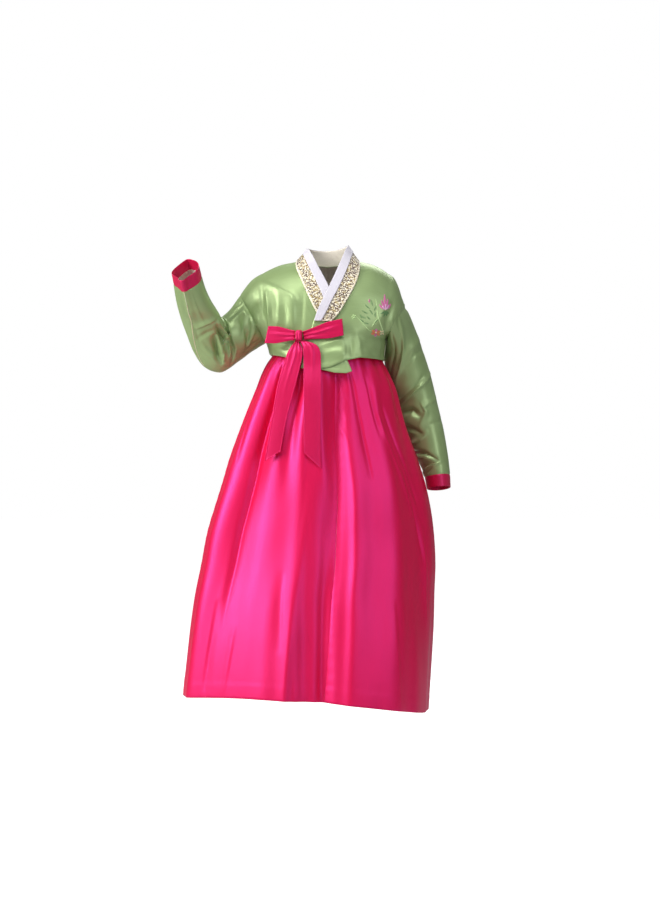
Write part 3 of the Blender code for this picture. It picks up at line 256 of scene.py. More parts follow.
SLEEVE_CREASES = {
    "raised": (
        (8.5, 4.6, 1, (0.62, 293), (0.47, 291), (0.33, 271), (0.29, 243)),
        (-9, 4.6, 0, (0.62, 283), (0.51, 280), (0.42, 273)),
        (6, 4.5, 0, (0.54, 271), (0.44, 263), (0.36, 252), (0.34, 236)),
        (-10, 5.2, 0, (0.57, 264), (0.45, 247), (0.355, 229)),
        (-9.5, 5.6, -1, (0.49, 309), (0.36, 300), (0.26, 278), (0.225, 245), (0.24, 216)),
        (3.2, 5, -1, (0.184, 310), (0.048, 297), (0.001, 292)),
        (-2.6, 4, 0, (0.200, 323), (0.052, 312), (0.001, 305)),
        (4.5, 9, 1, (0.150, 222), (0.115, 257), (0.045, 277), (0.001, 284)),
        (2.8, 5, -1, (0.001, 272), (0.020, 244), (0.111, 219)),
        (-2.6, 4, 0, (0.017, 274), (0.062, 249), (0.125, 227)),
        (3, 5, 1, (0.687, 234), (0.692, 265), (0.670, 294)),
        (-3, 5, 0, (0.617, 229), (0.628, 254), (0.617, 272)),
        (2.6, 5, 1, (0.535, 227), (0.446, 232), (0.333, 222)),
        (-2.4, 4.5, 0, (0.584, 237), (0.495, 241), (0.399, 246)), (-1.8, 3.5, 0, (0.001, 315), (0.045, 325)),
        (1.6, 3.6, 1, (0.001, 285), (0.015, 289), (0.048, 303)),
        (-2.6, 5, 0, (0.006, 216), (0.099, 211), (0.198, 226)),
        (1.6, 5, -1, (0.898, 271), (0.809, 267), (0.713, 264)),
        (-1.6, 5, 0, (0.771, 229), (0.675, 232), (0.579, 224)),
        (4.4, 5, 1, (0.38, 20), (0.35, 60), (0.37, 118)),
        (-4.6, 5, 0, (0.43, 24), (0.42, 70), (0.45, 122)), (-3.2, 5, 0, (0.06, 52), (0.15, 78), (0.28, 106)),
        (3.8, 5, -1, (0.50, 34), (0.49, 80), (0.55, 130)),
        (3.6, 5.5, 1, (0.02, 112), (0.14, 128), (0.33, 142)),
        (3.2, 6, -1, (0.60, 52), (0.68, 82), (0.80, 96)), (-2.8, 5, 0, (0.66, 124), (0.73, 96), (0.72, 60)),
        (2.6, 6, 1, (0.82, 60), (0.88, 92), (0.90, 128)), (2.8, 5, 1, (0.10, 30), (0.20, 46), (0.30, 50)),
    ),
    "hanging": (
        (4.6, 5, -1, (0.013, 282), (0.074, 261), (0.151, 250), (0.273, 220)),
        (-4, 5, 0, (0.038, 232), (0.113, 224), (0.214, 204)),
        (4.6, 5, 1, (0.343, 342), (0.376, 270), (0.434, 213)),
        (-3, 4.5, 0, (0.324, 302), (0.371, 253), (0.401, 210)),
        (-8.5, 7, 0, (0.483, 210), (0.483, 247), (0.530, 268)),
        (4, 5, -1, (0.467, 279), (0.518, 285), (0.577, 259)),
        (-7, 6, 0, (0.567, 209), (0.598, 240), (0.628, 256)),
        (4, 4.5, 1, (0.631, 274), (0.661, 246), (0.682, 195)),
        (-8, 6.5, 0, (0.717, 179), (0.741, 243), (0.804, 276)),
        (3.6, 4.5, -1, (0.837, 289), (0.862, 242), (0.909, 176)), (-3, 4, 0, (0.884, 249), (0.919, 210)),
        (-2.2, 5, 0, (0.214, 349), (0.174, 299), (0.195, 261)),
        (2.2, 6, 1, (0.160, 346), (0.137, 280), (0.167, 254)),
        (-1.8, 5, 0, (0.582, 355), (0.589, 296), (0.610, 268)),
        (2, 5, 1, (0.469, 347), (0.481, 299), (0.497, 272)),
        (-2.4, 5, 0, (0.001, 320), (0.001, 280), (0.050, 94)),
        (-3.4, 5, 0, (0.06, 98), (0.15, 80), (0.28, 52)),
        (4.2, 5, -1, (0.32, 62), (0.37, 104), (0.48, 150)),
        (-4.6, 5, 0, (0.41, 50), (0.47, 98), (0.56, 156)),
        (4, 5.5, 1, (0.52, 44), (0.55, 88), (0.64, 140)), (-3.6, 5, 0, (0.62, 58), (0.64, 98), (0.72, 150)),
        (3.2, 6, -1, (0.70, 50), (0.74, 92), (0.82, 132)), (3.6, 6, 1, (0.04, 140), (0.12, 118), (0.24, 84)),
        (-2.6, 5, 0, (0.82, 66), (0.86, 104), (0.90, 146)), (2.6, 5, -1, (0.18, 24), (0.26, 40), (0.33, 34)),
    ),
}
SKIRT_CREASES = (
    (-1.56, 3.12, 1, (0.105, 10.5), (0.13, 16)), (1.43, 3.36, -1, (0.15, 11.5), (0.18, 17)),
    (-1.56, 3.12, 1, (0.2, 10.5), (0.225, 15.5)), (1.3, 3.6, -1, (0.25, 11), (0.285, 16)),
    (1.56, 4.8, 1, (0.08, -33), (0.2, -29)), (-1.82, 6, -1, (0.1, 36), (0.26, 40)),
    (-4.2, 5, -1, (0.19, 49), (0.3, 56), (0.43, 67)), (3, 5, 1, (0.21, 43), (0.34, 50), (0.48, 60)),
    (-3, 5, -1, (0.36, 55), (0.46, 62), (0.6, 68)), (-2.4, 4.5, 1, (0.12, 24), (0.24, 27), (0.38, 28)),
    (-1.56, 5.4, 1, (0.06, 22), (0.16, 24)), (-1.56, 6, -1, (0.16, -66), (0.34, -60)),
    (-1.82, 6, 1, (0.66, -14), (0.86, -11)), (-2.08, 7.2, -1, (0.72, 40), (0.97, 44)),
    (1.82, 7.2, 1, (0.5, 70), (0.76, 72)), (-1.82, 7.2, -1, (0.74, -50), (0.97, -51)),
    (1.56, 6, 1, (0.8, -36), (0.98, -38)), (-1.56, 4.8, -1, (0.08, 104), (0.22, 108)),
    (-1.82, 7.2, 1, (0.5, 121), (0.8, 124)), (1.56, 4.8, -1, (0.1, 150), (0.24, 146)),
    (-1.82, 7.2, 1, (0.62, 166), (0.9, 168)), (-1.56, 4.8, -1, (0.12, 182), (0.3, 184)),
    (1.82, 7.2, 1, (0.58, 214), (0.84, 213)), (1.3, 4.8, -1, (0.1, 230), (0.24, 232)),
    (-1.95, 7.2, 1, (0.7, 246), (0.95, 245)), (1.56, 4.8, -1, (0.14, 259), (0.3, 262)),
)

# Threads, seams and hems
SEAM_SINKS, SEAM_REACH = 0.8, 2.0  # how deep a seam lies, and how far from it the cloth has risen again
PUCKER, PUCKER_REACH, PUCKER_STEP = 0.35, 8.0, 6.5
CREASES_END = 7.0  # over this far from an armhole's seam the creases beside it fade out
HEM_TURN = 0.35  # how far a hem's turned-in layer lifts the cloth
LIMP = 0.55  # soft unevenness of hanging cloth
RIBBON_HEM = 2.2  # from the ribbon's edges to their stitches
# The raised sleeve's underarm seam, which bears the piping: along, angle
PIPING_PATH = ((0.93, 249), (0.86, 243), (0.76, 232), (0.66, 220), (0.56, 206), (0.47, 192), (0.42, 186))
PIPING_HIGH, PIPING_HALF_ANGLE = 1.8, 1.5  # how far it stands up, and half its width in degrees
PIPING_ROWS, PIPING_COLUMNS = 150, 7


def column(table, index):
    return np.array([row[index] for row in table], float)


def through(at, knots, values):
    """The smooth curve through values at knots, read at one or many places."""
    knots = np.asarray(knots, float)
    values = np.asarray(values, float)
    slopes = np.gradient(values, knots)
    at = np.clip(at, knots[0], knots[-1])
    low = np.clip(np.searchsorted(knots, at) - 1, 0, len(knots) - 2)
    step = knots[low + 1] - knots[low]
    t = (at - knots[low]) / step
    rise = t * t * (3 - 2 * t)
    bend = slopes[low] * t * (1 - t) ** 2 - slopes[low + 1] * t * t * (1 - t)
    return values[low] + (values[low + 1] - values[low]) * rise + bend * step


def soft_step(value, start, end):
    t = np.clip((value - start) / (end - start), 0, 1)
    return t * t * (3 - 2 * t)


def bell(away, reach):
    """1 where away is nothing, and falling to nearly nothing two reaches off."""
    return np.exp(-((away / reach) ** 2))


def unit(vectors):
    return vectors / np.maximum(np.linalg.norm(vectors, axis=-1, keepdims=True), 1e-9)


def crease_height(x, z, face):
    """Ridges and troughs of the jacket's body at (x, z)."""
    total = np.zeros(np.broadcast(x, z).shape)
    for x0, z0, x1, z1, half, depth, side in BODY_CREASES:
        if side != face:
            continue
        run = np.array([x1 - x0, z1 - z0])
        t = np.clip(((x - x0) * run[0] + (z - z0) * run[1]) / run.dot(run), 0, 1)
        away = np.hypot(x - x0 - t * run[0], z - z0 - t * run[1])
        total += depth * np.exp(-((away / half) ** 2)) * np.sin(math.pi * (0.12 + 0.76 * t))
    return total


def shoulder_height(x):
    return through(x, column(SHOULDER_LINE, 0), column(SHOULDER_LINE, 1))


def shoulder_point(x):
    return x, float(shoulder_height(x))


def half_depth(x, z, face, grow=0.0):
    """How far the jacket bulges from the plane of its side seams, to the front or to the back."""
    z_rows = column(BODY_SECTIONS, 0)
    right, left = (through(z, z_rows, column(BODY_SECTIONS, index)) for index in (1, 2))
    width = np.where(x < 0, right, left)
    depth = through(z, z_rows, column(BODY_SECTIONS, 3 if face == "front" else 4))
    shoulder = shoulder_height(x)
    sideways = np.clip(1 - np.abs(x / (width + grow)) ** BODY_POWER, 0, 1) ** (1 / BODY_POWER)
    upwards = np.clip((z - (shoulder - ROUNDING)) / (ROUNDING + grow), 0, 1)
    rounding = np.sqrt(np.clip(1 - upwards**2, 0, 1))
    return (depth + crease_height(x, z, face) * rounding + grow) * sideways * rounding


def on_body(x, z, face, grow=0.0):
    side = -1 if face == "front" else 1
    return np.stack(np.broadcast_arrays(x, SIDE_Y + side * half_depth(x, z, face, grow), z), axis=-1)


def along_points(t, points):
    """A place at t, 0 to 1, along a line of (x, z) points, by distance."""
    points = np.array(points, float)
    gone = np.concatenate([[0], np.cumsum(np.hypot(*np.diff(points, axis=0).T))])
    return np.stack([np.interp(t, gone / gone[-1], points[:, k]) for k in (0, 1)], axis=-1)


def along_shoulder(t, start_x, end_x):
    x = start_x + (end_x - start_x) * t
    return np.stack([x, shoulder_height(x)], axis=-1)


def two_part(t, first, second, share):
    """A line made of two, each a function of its own t: the first takes up `share` of the whole."""
    a = first(np.clip(t / share, 0, 1))
    b = second(np.clip((t - share) / (1 - share), 0, 1))
    return np.where((t < share)[..., None], a, b)


def line(points):
    return lambda t: along_points(t, points)


def outer_edge(armhole, side):
    """A panel's outer edge: down the armhole, then down the side seam."""
    return lambda t: two_part(t, line(armhole), line(side), ARMHOLE_SHARE)


def patch(a, b, top, bottom, start, end):
    """Coons patch in (x, z): a runs across from start to end, b down from top to bottom."""
    a_, b_ = a[..., None], b[..., None]
    zero, one = np.zeros_like(a), np.ones_like(a)
    corners = (
        (1 - a_) * (1 - b_) * top(zero) + a_ * (1 - b_) * top(one)
        + (1 - a_) * b_ * bottom(zero) + a_ * b_ * bottom(one)
    )
    return (1 - b_) * top(a) + b_ * bottom(a) + (1 - a_) * start(b) + a_ * end(b) - corners


def in_plane(normal, plane_normal, where):
    """Turns the normals at `where` into the plane that plane_normal is square to."""
    flat = unit(normal - (normal @ plane_normal)[..., None] * plane_normal)
    return np.where(where[..., None], flat, normal)


def armhole_normal(armhole):
    (upper_x, upper_z), (lower_x, lower_z) = armhole
    return unit(np.array([upper_z - lower_z, 0, lower_x - upper_x], float))


def close_to(values, target):
    return np.abs(values - target) < SAME


def overlap_height(x, z):
    """The outer front stands out where it lies over the inner one, and not at its shoulder or side seam."""
    return LAYER * soft_step(-z, 30, 80) * soft_step(-x, -115, -62)


def no_overlap(x, z):
    return np.zeros_like(x)


def collar_point(s, w):
    """A place on the collar: s runs along it, and w across it, 0 at the sewn edge and 1 at the free edge."""
    steps = np.linspace(0, 1, len(COLLAR))
    sewn_x, sewn_z, side, free_x, free_z, free_y, lies, grow = (
        through(s, steps, column(COLLAR, index)) for index in range(8)
    )
    x = sewn_x + (free_x - sewn_x) * w
    z = sewn_z + (free_z - sewn_z) * w
    bulge = np.where(side < 0, -half_depth(x, z, "front", grow), half_depth(x, z, "back", grow))
    sewn_bulge = np.where(
        side < 0, -half_depth(sewn_x, sewn_z, "front", grow), half_depth(sewn_x, sewn_z, "back", grow)
    )
    near_shoulder = np.clip(np.abs(side), 0, 1)
    sewn_y = SIDE_Y + sewn_bulge * near_shoulder
    standing = sewn_y + (free_y - sewn_y) * w
    lying = SIDE_Y + bulge
    return np.stack([x, standing + (lying - standing) * np.clip(lies, 0, 1), z], axis=-1)


def collar_middle(u):
    """Points inside the neck, along the collar."""
    point = collar_point(u, np.full_like(u, 0.5))
    return np.stack([point[..., 0] * 0.3, point[..., 1] * 0.2, point[..., 2] * 0.9 - 30], axis=-1)


def sleeve_surface(table, armhole, folds):
    knots = column(table, 0)
    (tip_x, tip_z), (pit_x, pit_z) = armhole
    hole_middle = np.array([(tip_x + pit_x) / 2, SIDE_Y, (tip_z + pit_z) / 2])
    hole_reach = np.array([(tip_x - pit_x) / 2, 0, (tip_z - pit_z) / 2])

    def ends(u):
        values = [through(u, knots, column(table, index)) for index in range(1, 8)]
        upper = np.stack([values[0], values[4], values[1]], axis=-1)
        lower = np.stack([values[2], values[4], values[3]], axis=-1)
        return upper, lower, values[5], values[6]

    def middle(u):
        upper, lower, _, _ = ends(u)
        return (upper + lower) / 2

    def surface(u, v):
        angle = np.radians(v)
        upper, lower, half, edge = ends(u)
        centre, reach = (upper + lower) / 2, (upper - lower) / 2
        tangent = middle(u + 0.02) - middle(u - 0.02)
        back = unit(np.cross(reach, tangent))
        back = back * np.sign(back[..., 1:2])
        leave = soft_step(u, 0, 0.16)
        back = unit(back * leave[..., None] + np.array([0.0, 1.0, 0.0]) * (1 - leave[..., None]))
        sine, cosine = np.sin(angle), np.cos(angle)
        seam_edge = (1 - edge) + edge * 1.3 * np.abs(np.cos(angle / 2))
        oval = half * sine * seam_edge
        hole = hole_middle + hole_reach * cosine[..., None]
        x, z = hole[..., 0], hole[..., 2]
        at_hole = np.where(sine > 0, half_depth(x, z, "back"), -half_depth(x, z, "front"))
        depth = at_hole * (1 - leave) + oval * leave
        point = centre + reach * cosine[..., None] + back * depth[..., None]
        outwards = unit(point - centre)
        raised = np.zeros_like(depth)
        for place, angle_at, half_length, half_angle, height in folds:
            turn = (v - angle_at + 180) % 360 - 180
            raised += height * np.exp(-(((u - place) / half_length) ** 2) - (turn / half_angle) ** 2)
        return point + outwards * (raised * soft_step(u, 0.0, 0.08))[..., None]

    return surface, middle


def fold_height(angle, s):
    """Folds and gathers of the skirt at an angle round it; s runs from 0 at the band to 1 at the hem."""
    grown = soft_step(s, 0.02, 0.16)
    total = np.zeros(np.broadcast(angle, s).shape)
    for at_top, at_hem, before, after, top, middle, hem in SKIRT_FOLDS:
        away = (angle - (at_top + (at_hem - at_top) * s) + 180) % 360 - 180
        half = np.where(away < 0, before, after) * (0.8 + 0.25 * s)
        height = top + (middle - top) * soft_step(s, 0.08, 0.5) + (hem - middle) * soft_step(s, 0.5, 1)
        total += height * np.exp(-((away / half) ** 2))
    waves = np.sin(np.radians(angle * GATHERS + 40 * np.sin(np.radians(angle * 3))))
    gathers = GATHER_HEIGHT * waves * soft_step(s, 0, 0.04) * (1 - soft_step(s, 0.1, 0.42))
    return total * grown + gathers


def section(angle, z, table, power, grow=0.0):
    """A closed horizontal section: (x, y) at an angle round from the front towards the wearer's left."""
    rows = column(table, 0)
    right, left, front, back = (through(z, rows, column(table, index)) for index in range(1, 5))
    turn = np.radians(angle)
    sine, cosine = np.sin(turn), np.cos(turn)
    reach = (left - right) / 2 + grow
    depth = np.where(cosine > 0, -front, back) + grow
    x = (left + right) / 2 + reach * np.sign(sine) * np.abs(sine) ** (2 / power)
    y = -depth * np.sign(cosine) * np.abs(cosine) ** (2 / power)
    return x, y, unit(np.stack([(x - (left + right) / 2) / reach**2, y / depth**2], axis=-1))


def hem_height(angle):
    """The skirt's hem: lower on the wearer's left, and a little higher at the front than at the back."""
    turn = np.radians(angle)
    across = (1 + np.sin(turn)) / 2
    return HEM_RIGHT + (HEM_LEFT - HEM_RIGHT) * across + HEM_FRONT_LIFT * np.clip(np.cos(turn), 0, 1) ** 2


def skirt_at(angle, z, s):
    x, y, out = section(angle, z, SKIRT_SECTIONS, SKIRT_POWER)
    height = fold_height(angle, s)
    return np.stack([x + out[..., 0] * height, y + out[..., 1] * height, z], axis=-1)


def skirt_surface(s, angle):
    return skirt_at(angle, SKIRT_TOP + (hem_height(angle) - SKIRT_TOP) * s, s)


def skirt_axis(s):
    return np.stack([-10 - 40 * s, 10 + 0 * s, SKIRT_TOP - 750 * s], axis=-1)


def skirt_front_y(x, z):
    """The skirt's outer surface in front, at a place (x, z)."""
    angles = np.linspace(-80, 80, 321)
    s = (SKIRT_TOP - z) / (SKIRT_TOP - HEM_RIGHT)
    points = skirt_at(angles, np.full_like(angles, z), np.full_like(angles, s))
    return float(np.interp(x, points[:, 0], points[:, 1]))


def rest_y(x, z):
    """How far forward a ribbon hangs at (x, z): in front of what the jacket and skirt reach near there."""
    near = []
    for across in (-16, -8, 0, 8, 16):
        for down in (-22, -11, 0, 11, 22):
            beside, height = np.array(x + across), z + down
            if height > -242:
                near.append(SIDE_Y - float(half_depth(beside, np.array(max(height, -234)), "front", LAYER)))
            if height < -205:
                near.append(skirt_front_y(x + across, height))
    return min(near)


def knot_y():
    """The knot lies on the inner front, whose edge it ties to the outer one."""
    corners = [(KNOT[0] + 5, KNOT[1] + across) for across in (-6, 0, 6)]
    bulge = max(float(half_depth(np.array(x), np.array(z), "front")) for x, z in corners)
    return SIDE_Y - bulge - CLEAR - KNOT_SIZE[1] / 2


SIDE_NORMAL = np.array([0.0, 1.0, 0.0])


# ---------------------------------------------------------------- cloth


def spread(points):
    """How far each point of a grid lies from its first row and from its first column, along the cloth."""
    rows, columns = points.shape[:2]
    down = np.linalg.norm(np.diff(points, axis=0), axis=-1)
    across = np.linalg.norm(np.diff(points, axis=1), axis=-1)
    down = np.concatenate([np.zeros((1, columns)), np.cumsum(down, axis=0)])
    across = np.concatenate([np.zeros((rows, 1)), np.cumsum(across, axis=1)], axis=1)
    return down, across


def grid_normals(points, inside, around):
    """The outward normals of a grid of points, and whether its faces have to be turned to look outwards."""
    wide = np.concatenate([points[:, -1:], points, points[:, :1]], axis=1) if around else points
    across = np.gradient(wide, axis=1)
    across = across[:, 1:-1] if around else across
    normal = unit(np.cross(np.gradient(points, axis=0), across))
    turned = np.sum(normal * (points - inside)) < 0
    return (-normal if turned else normal), turned


def limpness(points, seed):
    """Soft unevenness of hanging cloth, the same for every piece that meets at a place."""
    draw = np.random.default_rng(seed)
    height = np.zeros(points.shape[:-1])
    for wavelength in (46, 62, 84, 110, 150):
        way = unit(draw.normal(size=3)) * 2 * math.pi / wavelength
        height += np.sin(points @ way + draw.uniform(0, 2 * math.pi)) * wavelength / 150
    return height * LIMP / 2.2


def relief(x, y, strokes, scale=(1.0, 1.0), round_y=None):
    """Soft ridges and troughs along paths, steeper on one side. After round_y, y meets itself again."""
    total = np.zeros(np.broadcast(x, y).shape)
    for height, half, lean, *path in strokes:
        knots = np.array(path, float) * scale
        aside_x, aside_y, knots = x - knots[0, 0], y - knots[0, 1], knots - knots[0]
        if round_y:
            aside_y = (aside_y + round_y / 2) % round_y - round_y / 2
            knots[:, 1] = (knots[:, 1] + round_y / 2) % round_y - round_y / 2
        steps = np.diff(knots, axis=0)
        lengths = np.hypot(*steps.T)
        nearest = np.full(total.shape, np.inf)
        done, side, start = np.zeros(total.shape), np.zeros(total.shape), 0.0
        for knot, step, length in zip(knots, steps, lengths):
            from_x, from_y = aside_x - knot[0], aside_y - knot[1]
            t = np.clip((from_x * step[0] + from_y * step[1]) / length**2, 0, 1)
            away = np.hypot(from_x - t * step[0], from_y - t * step[1])
            across = (from_x * step[1] - from_y * step[0]) / length
            closer = away < nearest
            done = np.where(closer, (start + t * length) / lengths.sum(), done)
            side = np.where(closer, across / np.maximum(away, SAME), side)
            nearest = np.minimum(nearest, away)
            start += length
        width = half * (1 + 0.5 * lean * side)
        total += height * bell(nearest, width) * np.sin(math.pi * (0.12 + 0.76 * done))
    return total


def pucker(along, phase):
    return np.sin(along / PUCKER_STEP * 1.9 + 1.6 * np.sin(along / 23 + phase) + phase)


def edge_height(kind, away, along, phase):
    """How an edge shapes the cloth near it: a seam sinks and puckers, a hem is thick up to its stitches."""
    if kind == "seam":
        sunk = -SEAM_SINKS * bell(away, SEAM_REACH)
        return sunk + PUCKER * pucker(along, phase) * np.exp(-away / PUCKER_REACH) * soft_step(away, 0, 2.5)
    if isinstance(kind, float):
        stitched = -0.3 * np.exp(-((away - kind) ** 2) / 2.2) * (0.65 + 0.35 * pucker(along, phase))
        return HEM_TURN * (1 - soft_step(away, kind - 1, kind + 1)) + stitched
    return np.zeros_like(away)


def add_mesh(name, points, faces, uvs, materials, material_of=None):
    """A mesh object from arrays: points in mm, faces of four corners, and a UV in metres for each corner."""
    mesh = bpy.data.meshes.new(name)
    mesh.from_pydata((points * MM).tolist(), [], faces.tolist())
    layer = mesh.uv_layers.new(name="weave")
    layer.data.foreach_set("uv", (uvs * MM).astype(np.float32).ravel())
    for material in materials:
        mesh.materials.append(material)
    if material_of is not None:
        mesh.polygons.foreach_set("material_index", material_of.astype(np.int32))
    mesh.shade_smooth()
    mesh.set_sharp_from_angle(angle=math.radians(58))
    mesh.validate()
    piece = bpy.data.objects.new(name, mesh)
    bpy.context.scene.collection.objects.link(piece)
    return piece


def shell(outer, inner, around, turned, free):
    """Points, faces and UVs of a closed wall between two grids. Edges in free are rounded outwards."""
    rows, columns = outer.shape[:2]
    index = np.arange(rows * columns).reshape(rows, columns)
    lower = index + rows * columns
    down, across = spread(outer)
    place = np.stack([np.broadcast_to(across.mean(0), (rows, columns)),
                      np.broadcast_to(down.mean(1)[:, None], (rows, columns))], axis=-1).reshape(-1, 2)
    girth = across.mean(0)[-1] + np.linalg.norm(outer[:, -1] - outer[:, 0], axis=-1).mean()

    def sheet_faces(grid):
        wrapped = np.concatenate([grid, grid[:, :1]], axis=1) if around else grid
        corners = [wrapped[:-1, :-1], wrapped[1:, :-1], wrapped[1:, 1:], wrapped[:-1, 1:]]
        return np.stack(corners, -1).reshape(-1, 4)

    def sheet_uvs(grid):
        uv = place.reshape(rows, columns, 2)
        if around:
            last = uv[:, :1].copy()
            last[..., 0] = girth
            uv = np.concatenate([uv, last], axis=1)
        return np.stack([uv[:-1, :-1], uv[1:, :-1], uv[1:, 1:], uv[:-1, 1:]], -2).reshape(-1, 4, 2)

    faces = [sheet_faces(index), sheet_faces(lower)[:, ::-1]]
    uvs = [sheet_uvs(index), sheet_uvs(lower)[:, ::-1]]
    wall = np.linalg.norm(outer - inner, axis=-1, keepdims=True)
    push = np.zeros_like(outer)
    if "top" in free:
        push[0] += unit(outer[0] - outer[1])
    if "bottom" in free:
        push[-1] += unit(outer[-1] - outer[-2])
    if "first" in free and not around:
        push[:, 0] += unit(outer[:, 0] - outer[:, 1])
    if "last" in free and not around:
        push[:, -1] += unit(outer[:, -1] - outer[:, -2])
    middle = (outer + inner) / 2 + unit(push) * wall * 0.42
    rims = [(index[0], place), (index[-1, ::-1], place)]
    if not around:
        rims += [(index[::-1, 0], place), (index[:, -1], place)]
    border = np.unique(np.concatenate([rim for rim, _ in rims]))
    number = np.full(rows * columns, -1)
    number[border] = np.arange(len(border)) + 2 * rows * columns
    for rim, _ in rims:
        ring = np.concatenate([rim, rim[:1]]) if around else rim
        a, b = ring[:-1], ring[1:]
        for first, second in ((index.ravel(), number), (number, lower.ravel())):
            faces.append(np.stack([first[a], first[b], second[b], second[a]], -1))
            uvs.append(np.stack([place[a], place[b], place[b], place[a]], -2))
    points = np.concatenate([outer.reshape(-1, 3), inner.reshape(-1, 3), middle.reshape(-1, 3)[border]])
    sheets = len(faces[0])
    material_of = np.zeros(sum(len(part) for part in faces), int)
    material_of[sheets:2 * sheets] = 1
    faces, uvs = np.concatenate(faces), np.concatenate(uvs)
    if turned:
        faces, uvs = faces[:, ::-1], uvs[:, ::-1]
    return points, faces, uvs, material_of


EDGE_NAMES = ("top", "bottom", "first", "last")


def shape_cloth(outer, inside, wall, edges, around=False, creases=0.0, flatten=None, limp=1.0, phase=0.0):
    """Gives a grid its finer relief and its inner side. edges says how each side of the grid ends."""
    normal, turned = grid_normals(outer, inside, around)
    down, across = spread(outer)
    away = {"top": down, "bottom": down[-1:] - down, "first": across, "last": across[:, -1:] - across}
    along = {"top": across, "bottom": across, "first": down, "last": down}
    height = creases + limp * limpness(outer, 5)
    for number, edge in enumerate(EDGE_NAMES):
        if edge in edges:
            height = height + edge_height(edges[edge], away[edge], along[edge], phase + number * 1.7)
    outwards = flatten(normal) if flatten else normal
    outer = outer + outwards * np.asarray(height)[..., None]
    return outer, outer - wall * outwards, turned


def make_cloth(name, node, slot, outer, inside, wall, finishes, edges, around=False, **relief):
    """One cloth piece that stands for a CAD node: a closed thin shell with a right side and a lining."""
    outer, inner, turned = shape_cloth(outer, inside, wall, edges, around, **relief)
    free = [edge for edge in EDGE_NAMES if edges.get(edge) != "seam"]
    points, faces, uvs, material_of = shell(outer, inner, around, turned, free)
    piece = add_mesh(name, points, faces, uvs, finishes, material_of)
    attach(piece, "root")
    if node:
        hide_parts(node)
    return piece


def joined(name, parts, finish):
    """Many small shells as one piece. Each part is (points, faces, uvs)."""
    points, faces, uvs, start = [], [], [], 0
    for part_points, part_faces, part_uvs, *_ in parts:
        points.append(part_points)
        faces.append(part_faces + start)
        uvs.append(part_uvs)
        start += len(part_points)
    piece = add_mesh(name, np.concatenate(points), np.concatenate(faces), np.concatenate(uvs), [finish])
    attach(piece, "root")
    return piece


# ---------------------------------------------------------------- finishes


def linear(hex_colour):
    """sRGB hex to a linear RGBA."""
    channels = [int(hex_colour[start:start + 2], 16) / 255 for start in (1, 3, 5)]
    return (*[c / 12.92 if c <= 0.04045 else ((c + 0.055) / 1.055) ** 2.4 for c in channels], 1.0)


def add_node(tree, kind, settings=None, links=None):
    """Adds a shader node, sets its properties and sockets, and links its sockets to other nodes' outputs."""
    node = tree.nodes.new(kind)
    for key, value in (settings or {}).items():
        if isinstance(key, str) and hasattr(node, key):
            setattr(node, key, value)
        else:
            node.inputs[key].default_value = value
    for key, source in (links or {}).items():
        tree.links.new(source, node.inputs[key])
    return node


def new_finish(name):
    finish = bpy.data.materials.new(name)
    finish.use_nodes = True
    tree = finish.node_tree
    return finish, tree, tree.nodes["Principled BSDF"]


def threads(tree, across_mm, along_mm, detail=2.0):
    """Streaks that run along the cloth's length, like slubs in its threads: a value from 0 to 1."""
    uv = add_node(tree, "ShaderNodeUVMap", {"uv_map": "weave"})
    scale = (1 / (across_mm * MM), 1 / (along_mm * MM), 1)
    run = add_node(tree, "ShaderNodeMapping", {"Scale": scale}, {"Vector": uv.outputs["UV"]})
    return add_node(tree, "ShaderNodeTexNoise", {"Scale": 1.0, "Detail": detail, "Roughness": 0.6},
                    {"Vector": run.outputs["Vector"]}).outputs["Fac"]


def between(tree, value, low_colour, high_colour, start=0.3, end=0.7):
    """A colour between two, as a value goes from start to end."""
    ramp = add_node(tree, "ShaderNodeValToRGB", links={"Fac": value})
    low, high = ramp.color_ramp.elements
    low.position, high.position = start, end
    low.color, high.color = linear(low_colour), linear(high_colour)
    return ramp.outputs["Color"]


def ranged(tree, value, low, high):
    node = add_node(tree, "ShaderNodeMapRange", {"To Min": low, "To Max": high}, {"Value": value})
    return node.outputs["Result"]


def satin(name, light, deep, tint, gloss, rib_mm=(0.9, 34), lift=0.5, sheen=0.0):
    """Woven filament satin or taffeta: smooth, with a strong soft gloss in its own colour, faint slubs."""
    finish, tree, shader = new_finish(name)
    slub = threads(tree, *rib_mm)
    broad = threads(tree, 26, 150, 1.0)
    mixed = add_node(tree, "ShaderNodeMath", {"operation": "ADD"}, {0: slub, 1: broad})
    halved = add_node(tree, "ShaderNodeMath", {"operation": "MULTIPLY", 1: 0.5}, {0: mixed.outputs[0]})
    tree.links.new(between(tree, halved.outputs[0], deep, light), shader.inputs["Base Color"])
    tree.links.new(ranged(tree, slub, gloss - 0.05, gloss + 0.05), shader.inputs["Roughness"])
    bump = add_node(tree, "ShaderNodeBump", {"Strength": lift, "Distance": 0.00006}, {"Height": slub})
    tree.links.new(bump.outputs["Normal"], shader.inputs["Normal"])
    shader.inputs["IOR"].default_value = 1.85
    shader.inputs["Specular IOR Level"].default_value = 1.0
    shader.inputs["Specular Tint"].default_value = linear(tint)
    shader.inputs["Sheen Weight"].default_value = sheen
    shader.inputs["Sheen Roughness"].default_value = 0.4
    shader.inputs["Sheen Tint"].default_value = linear(tint)
    return finish


